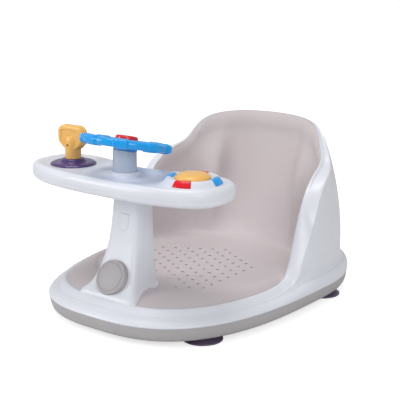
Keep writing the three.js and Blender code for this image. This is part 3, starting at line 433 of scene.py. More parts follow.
# Materials. The Mix node's sockets go by number, as their names repeat
MIX_FACTOR, MIX_A, MIX_B, MIX_RESULT = 0, 6, 7, 2
DRIFT_SCALE, DRIFT_LOW, DRIFT_HIGH, DRIFT_UP_SHARE = 14, 0.3, 0.7, 0.6
WORN_START, WORN_END, WORN_GAIN, WORN_LIFT = 0.53, 0.62, 1.25, 0.06
ROUGHNESS_SPREAD, LEAST_ROUGHNESS, COAT_ROUGHNESS = 0.05, 0.03, 0.12
PLASTIC_IOR, GRAIN_HEIGHT = 1.47, 0.0004


def linear(rgb):
    """A colour of 0 to 255 per channel as the linear one that a shader takes."""
    shares = [value / 255 for value in rgb]
    return tuple(v / 12.92 if v <= 0.04045 else ((v + 0.055) / 1.055) ** 2.4 for v in shares) + (1,)


def preset(node, **constants):
    for socket, value in constants.items():
        node.inputs[socket.replace("_", " ")].default_value = value
    return node


def add_node(tree, kind, **constants):
    """A shader node, with constants set on its sockets."""
    return preset(tree.nodes.new("ShaderNode" + kind), **constants)


def join(source, output, target, socket):
    """Links two nodes of a tree by the names or numbers of their sockets."""
    target.id_data.links.new(source.outputs[output], target.inputs[socket])


def plastic(name, rgb, roughness, grain=0.06, grain_size=1400, sheen=0.0, coat=0.0,
            variation=0.035, wear=0.08, metallic=0):
    """Moulded plastic: fine grain, slow colour drift, lighter worn edges."""
    material = bpy.data.materials.new(name)
    material.use_nodes = True
    tree = material.node_tree
    shader = tree.nodes["Principled BSDF"]
    colour = linear(rgb)
    coordinates = add_node(tree, "TexCoord")

    drift = add_node(tree, "TexNoise", Scale=DRIFT_SCALE, Detail=3)
    join(coordinates, "Object", drift, "Vector")
    ramp = add_node(tree, "MapRange", From_Min=DRIFT_LOW, From_Max=DRIFT_HIGH, To_Min=1 - variation,
                    To_Max=1 + variation * DRIFT_UP_SHARE)
    join(drift, "Fac", ramp, "Value")
    tint = add_node(tree, "Mix")
    tint.data_type = "RGBA"
    tint.blend_type = "MULTIPLY"
    tint.inputs[MIX_FACTOR].default_value = 1
    tint.inputs[MIX_A].default_value = colour
    join(ramp, "Result", tint, MIX_B)

    geometry = add_node(tree, "NewGeometry")
    edge = add_node(tree, "MapRange", From_Min=WORN_START, From_Max=WORN_END, To_Max=wear)
    join(geometry, "Pointiness", edge, "Value")
    worn = add_node(tree, "Mix")
    worn.data_type = "RGBA"
    lighter = tuple(min(1, c * WORN_GAIN + WORN_LIFT) for c in colour[:3])
    worn.inputs[MIX_B].default_value = lighter + (1,)
    join(edge, "Result", worn, MIX_FACTOR)
    join(tint, MIX_RESULT, worn, MIX_A)
    join(worn, MIX_RESULT, shader, "Base Color")

    fine = add_node(tree, "TexNoise", Scale=grain_size, Detail=2)
    join(coordinates, "Object", fine, "Vector")
    bump = add_node(tree, "Bump", Strength=grain, Distance=GRAIN_HEIGHT)
    join(fine, "Fac", bump, "Height")
    join(bump, "Normal", shader, "Normal")
    rough = add_node(tree, "MapRange", To_Min=max(roughness - ROUGHNESS_SPREAD, LEAST_ROUGHNESS),
                     To_Max=roughness + ROUGHNESS_SPREAD)
    join(drift, "Fac", rough, "Value")
    join(rough, "Result", shader, "Roughness")

    preset(shader, IOR=PLASTIC_IOR, Metallic=metallic, Sheen_Weight=sheen, Coat_Weight=coat,
           Coat_Roughness=COAT_ROUGHNESS)
    return material


WHITE = plastic("white_plastic", (220, 222, 230), 0.34, coat=0.12)
LINER = plastic("liner", (197, 188, 190), 0.55, grain=0.14, grain_size=900, sheen=0.12)
BASE = plastic("base", (172, 169, 171), 0.48, grain=0.12, grain_size=900)
GREY = plastic("grey_plastic", (184, 194, 206), 0.3, coat=0.15)
BLUE = plastic("blue_plastic", (0, 156, 233), 0.22, grain=0.02, coat=0.1)
RED = plastic("red_plastic", (222, 14, 34), 0.2, grain=0.02, coat=0.1)
YELLOW = plastic("yellow_plastic", (238, 184, 98), 0.24, grain=0.03, coat=0.15)
PURPLE = plastic("purple_plastic", (76, 54, 112), 0.22, grain=0.03, coat=0.15)
CUP = plastic("cup", (96, 84, 108), 0.2, grain=0.0, coat=0.3, wear=0)
STEEL = plastic("steel", (190, 192, 196), 0.3, grain=0.05, variation=0.05, metallic=1)


# The white shell. Rim: share of the round inwards, then of the height at the back and at the front
RIM_SHARES = [(0.78, 0.96, 0.44), (0.5, 0.88, 0.36), (0.24, 0.72, 0.25), (0.06, 0.5, 0.15),
              (0, 0.28, 0.07), (0.06, 0, 0)]
HIDDEN_RIM_SHARES = [(0.06, 0, 0), (0, 0.42, 0.1)]
WALL_SHARES = (0.06, 0.14, 0.22, 0.38, 0.56, 0.78)
WALL_BACK_SHARES = (0.56, 0.22)
CREASE_FALL_SHARE = 0.78
SLOPE_BACK_SHARES = (0.5, 0.87)


def rim_rows(degrees, rows):
    base, bottom = base_reach(degrees), SEAM_HEIGHT + GAP
    apron = apron_at(degrees)
    return [(base - RIM_ROUND * inset, bottom + (RIM_HEIGHT - bottom) * lerp(rise, front, apron))
            for inset, rise, front in rows]


def crease_at(degrees, edge):
    d = abs(degrees)
    drop = CREASE_DROP * read_table(DROP_SHARES, d) + RIM_FALL * CREASE_FALL_SHARE * apron_at(degrees)
    return (edge[0] + WING_WIDTH * read_table(WING_SHARES, d), edge[1] - drop)


def foot_at(degrees, crease):
    apron = apron_at(degrees)
    height = RIM_HEIGHT + WALL_FOOT_RISE * (1 - apron) - RIM_FALL * apron
    return (max(base_reach(degrees) - WALL_FOOT_INSET, crease[0] + GAP), min(height, crease[1] - GAP))


def wall_at(crease, foot, share):
    return lerp(foot[0], crease[0], (1 - share) ** WALL_POWER), lerp(crease[1], foot[1], share)


def wall_back(degrees, crease, foot, roof):
    """The hidden side of the outer wall: upright under the wing, sloped under the front rim."""
    apron = apron_at(degrees)
    rows = rim_rows(degrees, HIDDEN_RIM_SHARES)
    rows += [foot] + [wall_at(crease, foot, share) for share in WALL_BACK_SHARES]
    upright = [(x - SKIN_WALL, min(z - SKIN_WALL, roof) if z > RIM_HEIGHT - SKIN_WALL else z)
               for x, z in rows]
    upright.append((min(crease[0], upright[-1][0] - GAP), roof))
    inwards, down = SLOPE_BACK_SHARES
    sloped = upright[:2] + [(x - SKIN_WALL * inwards, z - SKIN_WALL * down)
                            for x, z in rows[2:] + [crease]]
    return [(lerp(a[0], b[0], apron), lerp(a[1], b[1], apron)) for a, b in zip(upright, sloped)]


def shell_rows(degrees):
    """The shell's whole section: under the liner, over the edge, down outside and back up within."""
    apron = apron_at(degrees)
    sitting = sitting_rows(degrees)
    along = heading(sitting)
    edge = sitting[-1]
    bucket = offset_rows(sitting, LINER_WALL + GAP)
    corner = onward(bucket[-1], along, GAP)
    lip = onward(edge, along, GAP)
    fall = BACK_LIP_FALL * (1 - smoothstep(abs(degrees), LIP_RISE_START, LIP_RISE_END))
    bead = (lip[0] + LIP_REACH, lip[1] + LIP_CROWN * (1 - apron) - fall)
    crease = crease_at(degrees, edge)
    foot = foot_at(degrees, crease)
    wall = [wall_at(crease, foot, share) for share in WALL_SHARES]
    outside = curve_through([lip, bead, crease] + wall + [foot] + rim_rows(degrees, RIM_SHARES),
                            steps=4)
    lowest = min(edge[1], crease[1] + RIM_FALL * apron)
    roof = lowest - SKIN_WALL - GAP - WALL_TOP_DEPTH * (1 - apron)
    inner = wall_back(degrees, crease, foot, roof)
    under = [(min(x, inner[-1][0] - GAP), min(z, roof))
             for x, z in offset_rows(sitting, LINER_WALL + GAP + SKIN_WALL)]
    return bucket[:-1] + [corner] + outside + inner + under[::-HIDDEN_STEP] + [under[0]]


def station_skin(name, rows_at):
    profiles = [rows_at(d) for d in STATIONS]
    rings = [[place(d, *profile[k]) for d, profile in zip(STATIONS, profiles)]
             for k in range(len(profiles[0]))]
    return skin(name, rings)


# The post
POST_TOP, POST_WIDTH, POST_FRONT, POST_BACK = 176, 50, -157, -129
POST_REACH, POST_FLARE, POST_TAPER, POST_BACK_FLARE = 42, 24, 5.5, 13
POST_CORNER, POST_WALL, POST_FILLET = 9.5, 3, 4
POST_RIB_Y, POST_RIB_TALL, POST_RIB_WALL = -150.5, 84, 2
POST_FOOT = RIM_HEIGHT - SKIN_WALL * 2

# Height share from the top, then shares of the foot's reach, flare and fillet
POST_SHARES = [
    (0, 0, 0, 0), (0.28, 0.12, 0, 0), (0.45, 0.23, 0.03, 0), (0.59, 0.37, 0.12, 0),
    (0.69, 0.49, 0.22, 0), (0.765, 0.59, 0.34, 0), (0.845, 0.73, 0.5, 0.06), (0.89, 0.84, 0.64, 0.3),
    (0.925, 0.94, 0.8, 0.85), (1, 1, 1, 1),
]


def post_loop(down, clearance, height):
    """The post's outline at a share of the way down."""
    columns = [[(row[0], row[k]) for row in POST_SHARES] for k in (1, 2, 3)]
    spread, flare, fillet = (read_table(column, down, loose_end=True) for column in columns)
    grow = clearance + POST_FILLET * fillet
    front = POST_FRONT - POST_REACH * spread - grow
    back = POST_BACK + POST_BACK_FLARE * max(down ** 2, flare) * down + grow
    f = POST_WIDTH / 2 + POST_FLARE * flare + grow
    b = POST_WIDTH / 2 - POST_TAPER * flare + grow
    points = softened([(-f, front), (f, front), (b, back), (-b, back)], POST_CORNER + grow, steps=10)
    return [(x, y, height) for x, y in points]


def post_loft(grow, top, bottom, steps=80):
    rings = []
    if bottom < POST_FOOT:
        rings.append(post_loop(1, grow, bottom))
    for k in range(steps, -1, -1):
        rings.append(post_loop(k / steps, grow, POST_TOP + (POST_FOOT - POST_TOP) * k / steps))
    if top > POST_TOP:
        rings.append(post_loop(0, grow, top))
    return skin("post", rings)


CAP_RADIUS, CAP_STAND, CAP_SINK, CAP_PEG, CAP_PEG_LENGTH = 22.8, 6.5, 2, 4, 10
CAP_EDGE, CAP_GROOVE, CAP_GROOVE_WIDTH, CAP_GROOVE_DEPTH, CAP_PAD = 1.6, 19, 1.8, 1.26, 25
CAP_GROOVE_SHARES = ((1, 0), (0.6, 0.25), (0.25, 0.9), (-0.25, 0.9), (-0.6, 0.25), (-1, 0))
CAP_Y, CAP_HEIGHT, CAP_TILT = -184.5, 70, 61
CAP_FRAME = frame_at(0, CAP_Y, CAP_HEIGHT, CAP_TILT)

RELEASE_WIDTH, RELEASE_TALL, RELEASE_STAND, RELEASE_CORNER, RELEASE_SEAM = 16, 21.5, 0.5, 1.2, 0.15
RELEASE_EDGE, RELEASE_LIP, RELEASE_LIP_WALL, RELEASE_ROUND_STEPS = 0.7, 2, 1.6, 24
RELEASE_Y, RELEASE_HEIGHT, RELEASE_TILT = -161.9, 139, 80.5
RELEASE_FRAME = frame_at(0, RELEASE_Y, RELEASE_HEIGHT, RELEASE_TILT)


def release_outline(grow):
    """Square above and round below."""
    half, top = RELEASE_WIDTH / 2 + grow, RELEASE_TALL / 2 + grow
    square = softened([(half, top), (-half, top), (-half, 0), (half, 0)], RELEASE_CORNER)
    points = square[:len(square) // 2]
    middle = half - top
    for k in range(RELEASE_ROUND_STEPS + 1):
        angle = pi + pi * k / RELEASE_ROUND_STEPS
        points.append((cos(angle) * half, middle + sin(angle) * half))
    return points


# The drain holes. First and last row of the middle column, then of each one further out
DRAIN_PITCH, DRAIN_RADIUS, BACK_ROW_Y, SLOT_WIDTH, BASE_SLOT_WIDTH = 18.3, 2.3, 57, 8, 12
COLUMN_STEP, ROW_STEP = DRAIN_PITCH * sqrt(3) / 2, DRAIN_PITCH / 2
FIRST_ROW, LAST_ROW = (0, 0, 1, 2, 3, 4), (15, 16, 17, 20, 19, 18)


def drain_columns():
    """Each column's place across and the places of its holes along, staggered by half a pitch."""
    outermost = len(FIRST_ROW) - 1
    for c in range(-outermost, outermost + 1):
        side = abs(c)
        rows = [r for r in range(FIRST_ROW[side], LAST_ROW[side] + 1) if (r + side) % 2 == 0]
        yield c * COLUMN_STEP, [BACK_ROW_Y - r * ROW_STEP for r in rows]


def drain_slots(width, low, high, every=1, last=-1):
    """Slots under the columns of holes, from the rearmost hole to the one counted by last."""
    slots = []
    for x, rows in list(drain_columns())[every - 1::every]:
        front, back = rows[last] - width / 2, rows[0] + width / 2
        size = (width, back - front, high - low)
        slots.append(box(size, (x, (front + back) / 2, (low + high) / 2)))
    return merged(slots)


def build_shell():
    bowl = station_skin("seat_shell_look", shell_rows)
    union(bowl, post_loft(0, POST_TOP, POST_FOOT))
    cut(bowl, post_loft(-POST_WALL, POST_TOP + OVERRUN, POST_FOOT - OVERRUN))
    pad = carry(rod(CAP_PAD, -CAP_SINK - POST_WALL, 0, sides=64), CAP_FRAME)
    boolean(pad, post_loft(0, POST_TOP, POST_FOOT), "INTERSECT")
    rib_size = (POST_WIDTH - POST_WALL, POST_RIB_WALL, POST_RIB_TALL)
    union(bowl, pad, box(rib_size, (0, POST_RIB_Y, POST_TOP - POST_RIB_TALL / 2)))
    well = carry(rod(CAP_RADIUS + SLIDE_GAP, -CAP_SINK, CAP_RADIUS, sides=128), CAP_FRAME)
    window = plain(release_outline(RELEASE_SEAM), -OVERRUN / 2, OVERRUN)
    slots = drain_slots(SLOT_WIDTH, SHELL_UNDER - GAP, PAN_HEIGHT, last=-2)
    cut(bowl, well, carry(window, RELEASE_FRAME), slots)
    look(bowl, WHITE, "seat", sharp=28)


def build_liner():
    def rows(degrees):
        top = sitting_rows(degrees)
        under = offset_rows(top, LINER_WALL)
        return top + [under[-1]] + under[-2::-HIDDEN_STEP] + [under[0]]

    liner = station_skin("seat_liner_look", rows)
    cut(liner, post_loft(GAP, POST_TOP, POST_FOOT - OVERRUN))
    pins = [rod_at((x, y), DRAIN_RADIUS, PAN_HEIGHT - OVERRUN, PAN_HEIGHT + OVERRUN, sides=20)
            for x, ys in drain_columns() for y in ys]
    cut(liner, merged(pins))
    look(liner, LINER, "seat", sharp=40)


# The base pan and its cups
BASE_ROUND, BASE_LIP_TOP, BOSS_RADIUS, SCREW_HEAD = 17, 30, 7, 3.8
BASE_FLOOR = CUP_HEIGHT + SKIN_WALL
BOSS_MEETING = (SHELL_UNDER + BASE_FLOOR) / 2
SCREW_WEB, BASE_BEND_SHARE = 3, 0.6

# Share of the round inwards, then of the height
BASE_WALL_SHARES = [(1, 0), (0.62, 0.015), (0.38, 0.1), (0.22, 0.28), (0.1, 0.62), (0.05, 1)]


# The right one of each pair; the left one mirrors it
CUP_PAIRS, SCREW_PAIRS = (("front", 110, -139), ("back", 136, 104)), ((92, -104), (80, 74))
CUPS = [(f"{end}_{side}", sign * x, y) for end, x, y in CUP_PAIRS
        for side, sign in (("right", 1), ("left", -1))]
SCREW_SPOTS = [(sign * x, y) for x, y in SCREW_PAIRS for sign in (1, -1)]


def build_base():
    def rows(degrees):
        edge = base_reach(degrees)
        tall = SEAM_HEIGHT - CUP_HEIGHT
        outside = curve_through(scaled(BASE_WALL_SHARES, edge, -BASE_ROUND, CUP_HEIGHT, tall), steps=5)
        lip = outside[-1][0] - SKIN_WALL - SLIDE_GAP
        inside = lip - SKIN_WALL
        return outside + [(lip, SEAM_HEIGHT), (lip, BASE_LIP_TOP), (inside, BASE_LIP_TOP),
                          (inside, CUP_HEIGHT + tall * BASE_BEND_SHARE),
                          (inside - SKIN_WALL, BASE_FLOOR + SKIN_WALL),
                          (edge - BASE_ROUND - SKIN_WALL, BASE_FLOOR)]

    base = station_skin("base_tray_look", rows)
    cutters = []
    for spot in SCREW_SPOTS:
        union(base, rod_at(spot, BOSS_RADIUS, BASE_FLOOR - GAP, BOSS_MEETING))
        cutters.append(rod_at(spot, SCREW_HEAD + SLIDE_GAP, 0, BOSS_MEETING - SCREW_WEB))
    cutters += [rod_at((x, y), CUP_NECK + GAP, 0, BASE_FLOOR + GAP) for _, x, y in CUPS]
    slots = drain_slots(BASE_SLOT_WIDTH, CUP_HEIGHT - GAP, BASE_FLOOR + GAP, every=2)
    cut(base, merged(cutters), slots)
    look(base, BASE, "seat")


CUP_RADIUS, CUP_NECK, CUP_HEAD, CUP_HEAD_TALL = 26, 4.5, 7.5, 3.5

# Share of the radius, then of the height
CUP_BELL_SHARES = [(1, 0), (1, 0.13), (0.97, 0.23), (0.77, 0.45), (0.54, 0.77), (0.4, 0.95)]
CUP_HOLLOW_SHARES = [(0.01, 0.52), (0.45, 0.44), (0.8, 0.12), (0.88, 0)]
CUP_HEAD_SHARES = [(1, 0), (0.96, 0.43), (0.7, 1)]


def build_cup(name, x, y):
    head = BASE_FLOOR + GAP
    rows = []
    for shares in (CUP_HOLLOW_SHARES, CUP_BELL_SHARES):
        rows += curve_through(scaled(shares, 0, CUP_RADIUS, 0, CUP_HEIGHT), steps=4)
    rows += [(CUP_NECK, CUP_HEIGHT - GAP), (CUP_NECK, head)]
    rows += scaled(CUP_HEAD_SHARES, 0, CUP_HEAD, head, CUP_HEAD_TALL)
    cup = turned(f"suction_cup_{name}_look", rows, sides=72)
    carry(cup, frame_at(x, y))
    look(cup, CUP, "seat", sharp=40)


def build_cap():
    rear = GAP - CAP_SINK
    groove = scaled(CAP_GROOVE_SHARES, CAP_GROOVE, CAP_GROOVE_WIDTH, CAP_STAND, -CAP_GROOVE_DEPTH)
    rows = [(CAP_PEG, -CAP_PEG_LENGTH), (CAP_PEG, rear), (CAP_RADIUS, rear)]
    rows += round_edge(CAP_RADIUS, CAP_STAND, CAP_EDGE) + groove
    cap = carry(turned("post_cap_look", rows, sides=128), CAP_FRAME)
    look(cap, BASE, "seat", sharp=30)


def build_release():
    lip_top = -POST_WALL - SLIDE_GAP * 2
    face = pillow("release_button_look", release_outline(0), lip_top - GAP, RELEASE_STAND,
                  0, RELEASE_EDGE, steps=5)
    lip = plain(release_outline(RELEASE_LIP), lip_top - RELEASE_LIP_WALL, lip_top)
    carry(union(face, lip), RELEASE_FRAME)
    look(face, WHITE, "release", sharp=30)


# The tray
TRAY_Y, TRAY_WIDTH, TRAY_FRONT, TRAY_BACK, TRAY_POWER = -150, 308, 63.7, 71.8, 2.65
TRAY_WAIST, TRAY_WAIST_WIDTH = 40.5, 100
TRAY_BOTTOM, TRAY_SEAM, TRAY_FLOOR, TRAY_RIM = 180.1, 191.5, 199.8, 204.4
TRAY_ROUND, TRAY_WALL, TRAY_BOSS, TRAY_SEAM_LINE = 20, 2.6, 6.4, 0.1
TRAY_UNDER, TRAY_LOWER_FLOOR = TRAY_FLOOR - TRAY_WALL, TRAY_BOTTOM + TRAY_WALL
TRAY_SCREWS = [(x, y) for y in (-186, -128) for x in (62, -62)]
TOY_X, TOY_Y, COLUMN_Y = 101.2, -147.5, -157.7
KEY_SPOT, DOME_SPOT, COLUMN_SPOT = (-TOY_X, TOY_Y), (TOY_X, TOY_Y), (0, COLUMN_Y)

# The edge: share of the round inwards, then of the height
LOWER_START_SHARE, UPPER_START_SHARE = 1.4, 1.6
TRAY_LOWER_SHARES = [(1, 0), (0.76, 0.015), (0.54, 0.06), (0.36, 0.15), (0.23, 0.27), (0.12, 0.45),
                     (0.07, 0.62), (0.03, 0.82), (0.012, 1)]
TRAY_DISH_SHARES = [(1.35, 0.01), (1.1, 0.06), (0.9, 0.27), (0.74, 0.6), (0.6, 0.86), (0.48, 0.97)]
TRAY_UPPER_SHARES = [(0.365, 1), (0.27, 0.965), (0.19, 0.89), (0.12, 0.77), (0.06, 0.6), (0.025, 0.4),
                     (0.01, 0.2), (0.012, 0)]


def tray_ring(inset, height, count=192):
    """An oval whose back edge is drawn in round the child."""
    ring = []
    for c, s in circle(count):
        half_depth = (TRAY_FRONT if c < 0 else TRAY_BACK) - inset
        reach = oval_reach(s, c, TRAY_WIDTH / 2 - inset, half_depth, TRAY_POWER)
        x, y = s * reach, c * reach
        drawn_in = TRAY_WAIST * exp(-(x / TRAY_WAIST_WIDTH) ** 2) * max(y, 0) / half_depth
        ring.append((x, TRAY_Y + y - drawn_in, height))
    return ring


def tray_skin(name, rows, side, limit):
    """A half of the tray: its outer rows, and the same rows one wall inwards up to the seam."""
    inner = [(x, limit(z)) for x, z in offset_rows(rows, side * TRAY_WALL)]
    return skin(name, [tray_ring(*row) for row in rows + inner[::-1]])


def build_tray_lower():
    top = TRAY_SEAM - TRAY_SEAM_LINE
    edge = scaled(TRAY_LOWER_SHARES, 0, TRAY_ROUND, TRAY_BOTTOM, top - TRAY_BOTTOM)
    rows = [(TRAY_ROUND * LOWER_START_SHARE, TRAY_BOTTOM)] + curve_through(edge, steps=3)
    lower = tray_skin("tray_lower_look", rows, 1, lambda z: min(z, top))
    wells = []
    for spot in TRAY_SCREWS:
        union(lower, rod_at(spot, TRAY_BOSS, TRAY_LOWER_FLOOR - GAP, top))
        wells.append(rod_at(spot, SCREW_HEAD + SLIDE_GAP, TRAY_BOTTOM - GAP, top - SCREW_WEB))
    cut(lower, merged(wells))
    look(lower, WHITE, "tray", sharp=35)


# The coloured blocks on the slope of the dome's boss
DOME_RADIUS, DOME_HEIGHT, DOME_WALL, DOME_LIP, DOME_LIP_WALL, DOME_PEG = 22.6, 7.8, 2.4, 2.2, 1.8, 9.6
BOSS_REACH, BOSS_SLOPE, BOSS_TALL, CREST_RADIUS, CREST_TALL = 37.4, 7, 8.2, 31.4, 2.4
BLOCK_INSET, BLOCK_SPAN, BLOCK_TURN, BLOCK_DEPTH, BLOCK_STAND, BLOCK_EDGE = 1.6, 38, 15, 2, 0.6, 1.3
BLOCK_MARGIN, BLOCK_SIDE_STEPS, BLOCK_TOP_SHARES, POCKET_EDGE = 0.52, 12, (0.35, 0.6, 0.8, 0.95), 0.1
BOSS_TOP = TRAY_FLOOR + BOSS_TALL
CREST = BOSS_TOP + CREST_TALL

SLOPE_FOOT_SHARE, SLOPE_END_SHARE = 0.42, 0.2

# Shares of the crest's height: outwards from its radius, then down from its top
CREST_SHARES = [(1.1, 1.2), (0.2, 0.25), (-1.1, 0)]

# From the foot of the boss over its crest to the dome
SLOPE = curve_through([
    (BOSS_REACH, TRAY_FLOOR + BOSS_TALL * SLOPE_FOOT_SHARE),
    *scaled(CREST_SHARES, CREST_RADIUS, CREST_TALL, CREST, -CREST_TALL),
    (DOME_RADIUS + BLOCK_INSET, BOSS_TOP + CREST_TALL * SLOPE_END_SHARE),
], steps=8)
BLOCKS = [("front", -90, RED), ("right", 0, BLUE), ("back", 90, RED), ("left", 180, BLUE)]

# How far up the slope each of its points lies
SLOPE_LENGTHS = [0, *accumulate(hypot(b[0] - a[0], b[1] - a[1]) for a, b in zip(SLOPE, SLOPE[1:]))]


def on_slope(along, across, stand, turn):
    """A point by its way up the slope, its way round the crest and its height off the surface."""
    i = 0
    while i < len(SLOPE) - 2 and SLOPE_LENGTHS[i + 1] < along:
        i += 1
    t = (along - SLOPE_LENGTHS[i]) / (SLOPE_LENGTHS[i + 1] - SLOPE_LENGTHS[i])
    before, after = offset_rows(SLOPE, stand)[i:i + 2]
    radius, height = lerp(before[0], after[0], t), lerp(before[1], after[1], t)
    angle = radians(turn + BLOCK_TURN) + across / CREST_RADIUS
    return (DOME_SPOT[0] + cos(angle) * radius, DOME_SPOT[1] + sin(angle) * radius, height)


def block_outline(grow):
    half = radians(BLOCK_SPAN / 2) * CREST_RADIUS + grow
    low, high = BLOCK_MARGIN - grow, SLOPE_LENGTHS[-1] - BLOCK_MARGIN + grow
    corners = oblong(low, high, -half, half)
    points = []
    for (x0, y0), (x1, y1) in zip(corners, corners[1:] + corners[:1]):
        for k in range(BLOCK_SIDE_STEPS):
            t = k / BLOCK_SIDE_STEPS
            points.append((lerp(x0, x1, t), lerp(y0, y1, t)))
    return points


def block_solid(name, turn, grow, depth, stand, edge):
    """A block wrapped on the slope, with rounded upper edges."""
    outline = block_outline(grow)
    middle = SLOPE_LENGTHS[-1] / 2
    half = (max(x for x, _ in outline) - middle, max(y for _, y in outline))

    def ring(inset, height):
        points = []
        for along, across in outline:
            x = middle + (along - middle) * (1 - inset / half[0])
            points.append(on_slope(x, across * (1 - inset / half[1]), height, turn))
        return points

    rings = [ring(0, -depth)] + [ring(-x, z) for x, z in round_edge(0, stand, edge)]
    for share in BLOCK_TOP_SHARES:
        rings.append(ring(edge + (min(half) - edge) * share, stand))
    return skin(name, rings)


def build_blocks():
    for name, turn, material in BLOCKS:
        block = block_solid(f"ring_block_{name}_look", turn, 0, BLOCK_DEPTH, BLOCK_STAND, BLOCK_EDGE)
        look(block, material, "tray", sharp=40)


COLUMN_RADIUS, COLUMN_WALL, COLUMN_FLANGE, COLUMN_FLANGE_WALL, COLUMN_SIDES = 15.2, 3, 4, 2.5, 96

# Millimetres past the column, then the share of the boss's height
COLUMN_BOSS_ROWS = [(9.5, 0), (6.6, 0.12), (4.2, 0.45), (3, 0.82), (2.1, 0.97), (1.3, 1)]
COLUMN_BOSS_TALL, SKIRT_RUN, SKIRT_RISE, RING_COLLAR = 6, 2.4, 0.4, 14


def build_tray_upper():
    edge = scaled(TRAY_DISH_SHARES, 0, TRAY_ROUND, TRAY_FLOOR, TRAY_RIM - TRAY_FLOOR)
    edge += scaled(TRAY_UPPER_SHARES, 0, TRAY_ROUND, TRAY_SEAM, TRAY_RIM - TRAY_SEAM)
    rows = [(TRAY_ROUND * UPPER_START_SHARE, TRAY_FLOOR)] + curve_through(edge, steps=3)
    upper = tray_skin("tray_upper_look", rows, -1, lambda z: max(z, TRAY_SEAM))
    foot = BOSS_REACH + BOSS_SLOPE
    skirt = [(foot, TRAY_FLOOR), (foot - SKIRT_RUN, TRAY_FLOOR + SKIRT_RISE), SLOPE[0]]
    dome_rows = [(foot, TRAY_UNDER)] + curve_through(skirt, steps=5)[:-1] + SLOPE
    union(upper, carry(turned("boss", dome_rows, sides=128), frame_at(*DOME_SPOT)))
    slope = scaled(COLUMN_BOSS_ROWS, COLUMN_RADIUS, 1, TRAY_FLOOR, COLUMN_BOSS_TALL)
    column_rows = [(slope[0][0], TRAY_UNDER)] + curve_through(slope, steps=4)
    union(upper, carry(turned("boss", column_rows), frame_at(*COLUMN_SPOT)))
    for spot in TRAY_SCREWS:
        union(upper, rod_at(spot, TRAY_BOSS, TRAY_SEAM, TRAY_UNDER + GAP))
    wells = ((DOME_SPOT, DOME_RADIUS), (COLUMN_SPOT, COLUMN_RADIUS), (KEY_SPOT, RING_COLLAR))
    cut(upper, *[rod_at(spot, r + SLIDE_GAP, TRAY_SEAM, TRAY_RIM + OVERRUN, sides=128)
                 for spot, r in wells])
    for _, turn, _ in BLOCKS:
        cut(upper, block_solid("pocket", turn, GAP, BLOCK_DEPTH + GAP, OVERRUN / 2, POCKET_EDGE))
    look(upper, WHITE, "tray", sharp=30)


STEM_DEPTH, STEM_WALL, FLANGE_WIDTH = 50, 2.6, 58
FLANGE_FRONT, FLANGE_BACK, FLANGE_CORNER = -163, -125, 12
STEM_SCREW_X, STEM_SCREW_Y, STEM_BOSS, SCREW_LENGTH = 13, -140.3, 4.4, 10
STEM_EDGE_LOW, STEM_EDGE_HIGH = 0.6, 0.3


def build_stem():
    top, foot = TRAY_BOTTOM - GAP, POST_TOP - STEM_DEPTH
    half = FLANGE_WIDTH / 2
    outline = softened(oblong(-half, half, FLANGE_FRONT, FLANGE_BACK), FLANGE_CORNER)
    flange = pillow("tray_stem_look", outline, POST_TOP + GAP, top,
                    STEM_EDGE_LOW, STEM_EDGE_HIGH, steps=4)
    side = POST_WIDTH / 2 - POST_WALL - SLIDE_GAP
    front, back = POST_RIB_Y + POST_RIB_WALL / 2 + SLIDE_GAP, POST_BACK - POST_WALL - SLIDE_GAP
    corner = POST_CORNER - POST_WALL
    spigot = plain(softened(oblong(-side, side, front, back), corner), foot, POST_TOP + GAP * 2)
    room = oblong(STEM_WALL - side, side - STEM_WALL, front + STEM_WALL, back - STEM_WALL)
    cut(union(flange, spigot),
        plain(softened(room, corner - STEM_WALL), foot - OVERRUN, POST_TOP + GAP))
    for x in (STEM_SCREW_X, -STEM_SCREW_X):
        union(flange, rod_at((x, STEM_SCREW_Y), STEM_BOSS, top - SCREW_LENGTH, top - GAP))
    look(flange, WHITE, "tray", sharp=30)


# The wheel
WHEEL_Y, WHEEL_HEIGHT, WHEEL_TILT = -155, 240, 13
WHEEL_FRAME = frame_at(0, WHEEL_Y, WHEEL_HEIGHT, -WHEEL_TILT)
WHEEL_RADIUS, WHEEL_LOBE, LOBES, LOBE_TURN = 55, 3.8, 8, -11
RIM_BAR, WHEEL_THICKNESS, WHEEL_ROUND, PAD_SWELL, BETWEEN_PADS_SINK = 16, 11, 4, 1.3, 0.2
RIM_SECTIONS, RIM_SIDES, RIM_POWER, PAD_END_SHARES = 384, 40, 0.72, (0.16, 0.235)
WHEEL_HUB, HUB_DEPTH, POCKET_DEPTH = 22, 3.4, 8.4
SPOKES, SPOKE_WIDTH, SPOKE_SINK, SPOKE_CORNER = 3, 16, 0.6, 1
WHEEL_TOP = WHEEL_THICKNESS / 2
HUB_FOOT = -WHEEL_TOP - HUB_DEPTH
WHEEL_UNDER = HUB_FOOT - SLIDE_GAP
POCKET_FLOOR = WHEEL_TOP - POCKET_DEPTH
AXLE_RADIUS, AXLE_GRIP, GRIP_SINK = 4, 12, 1


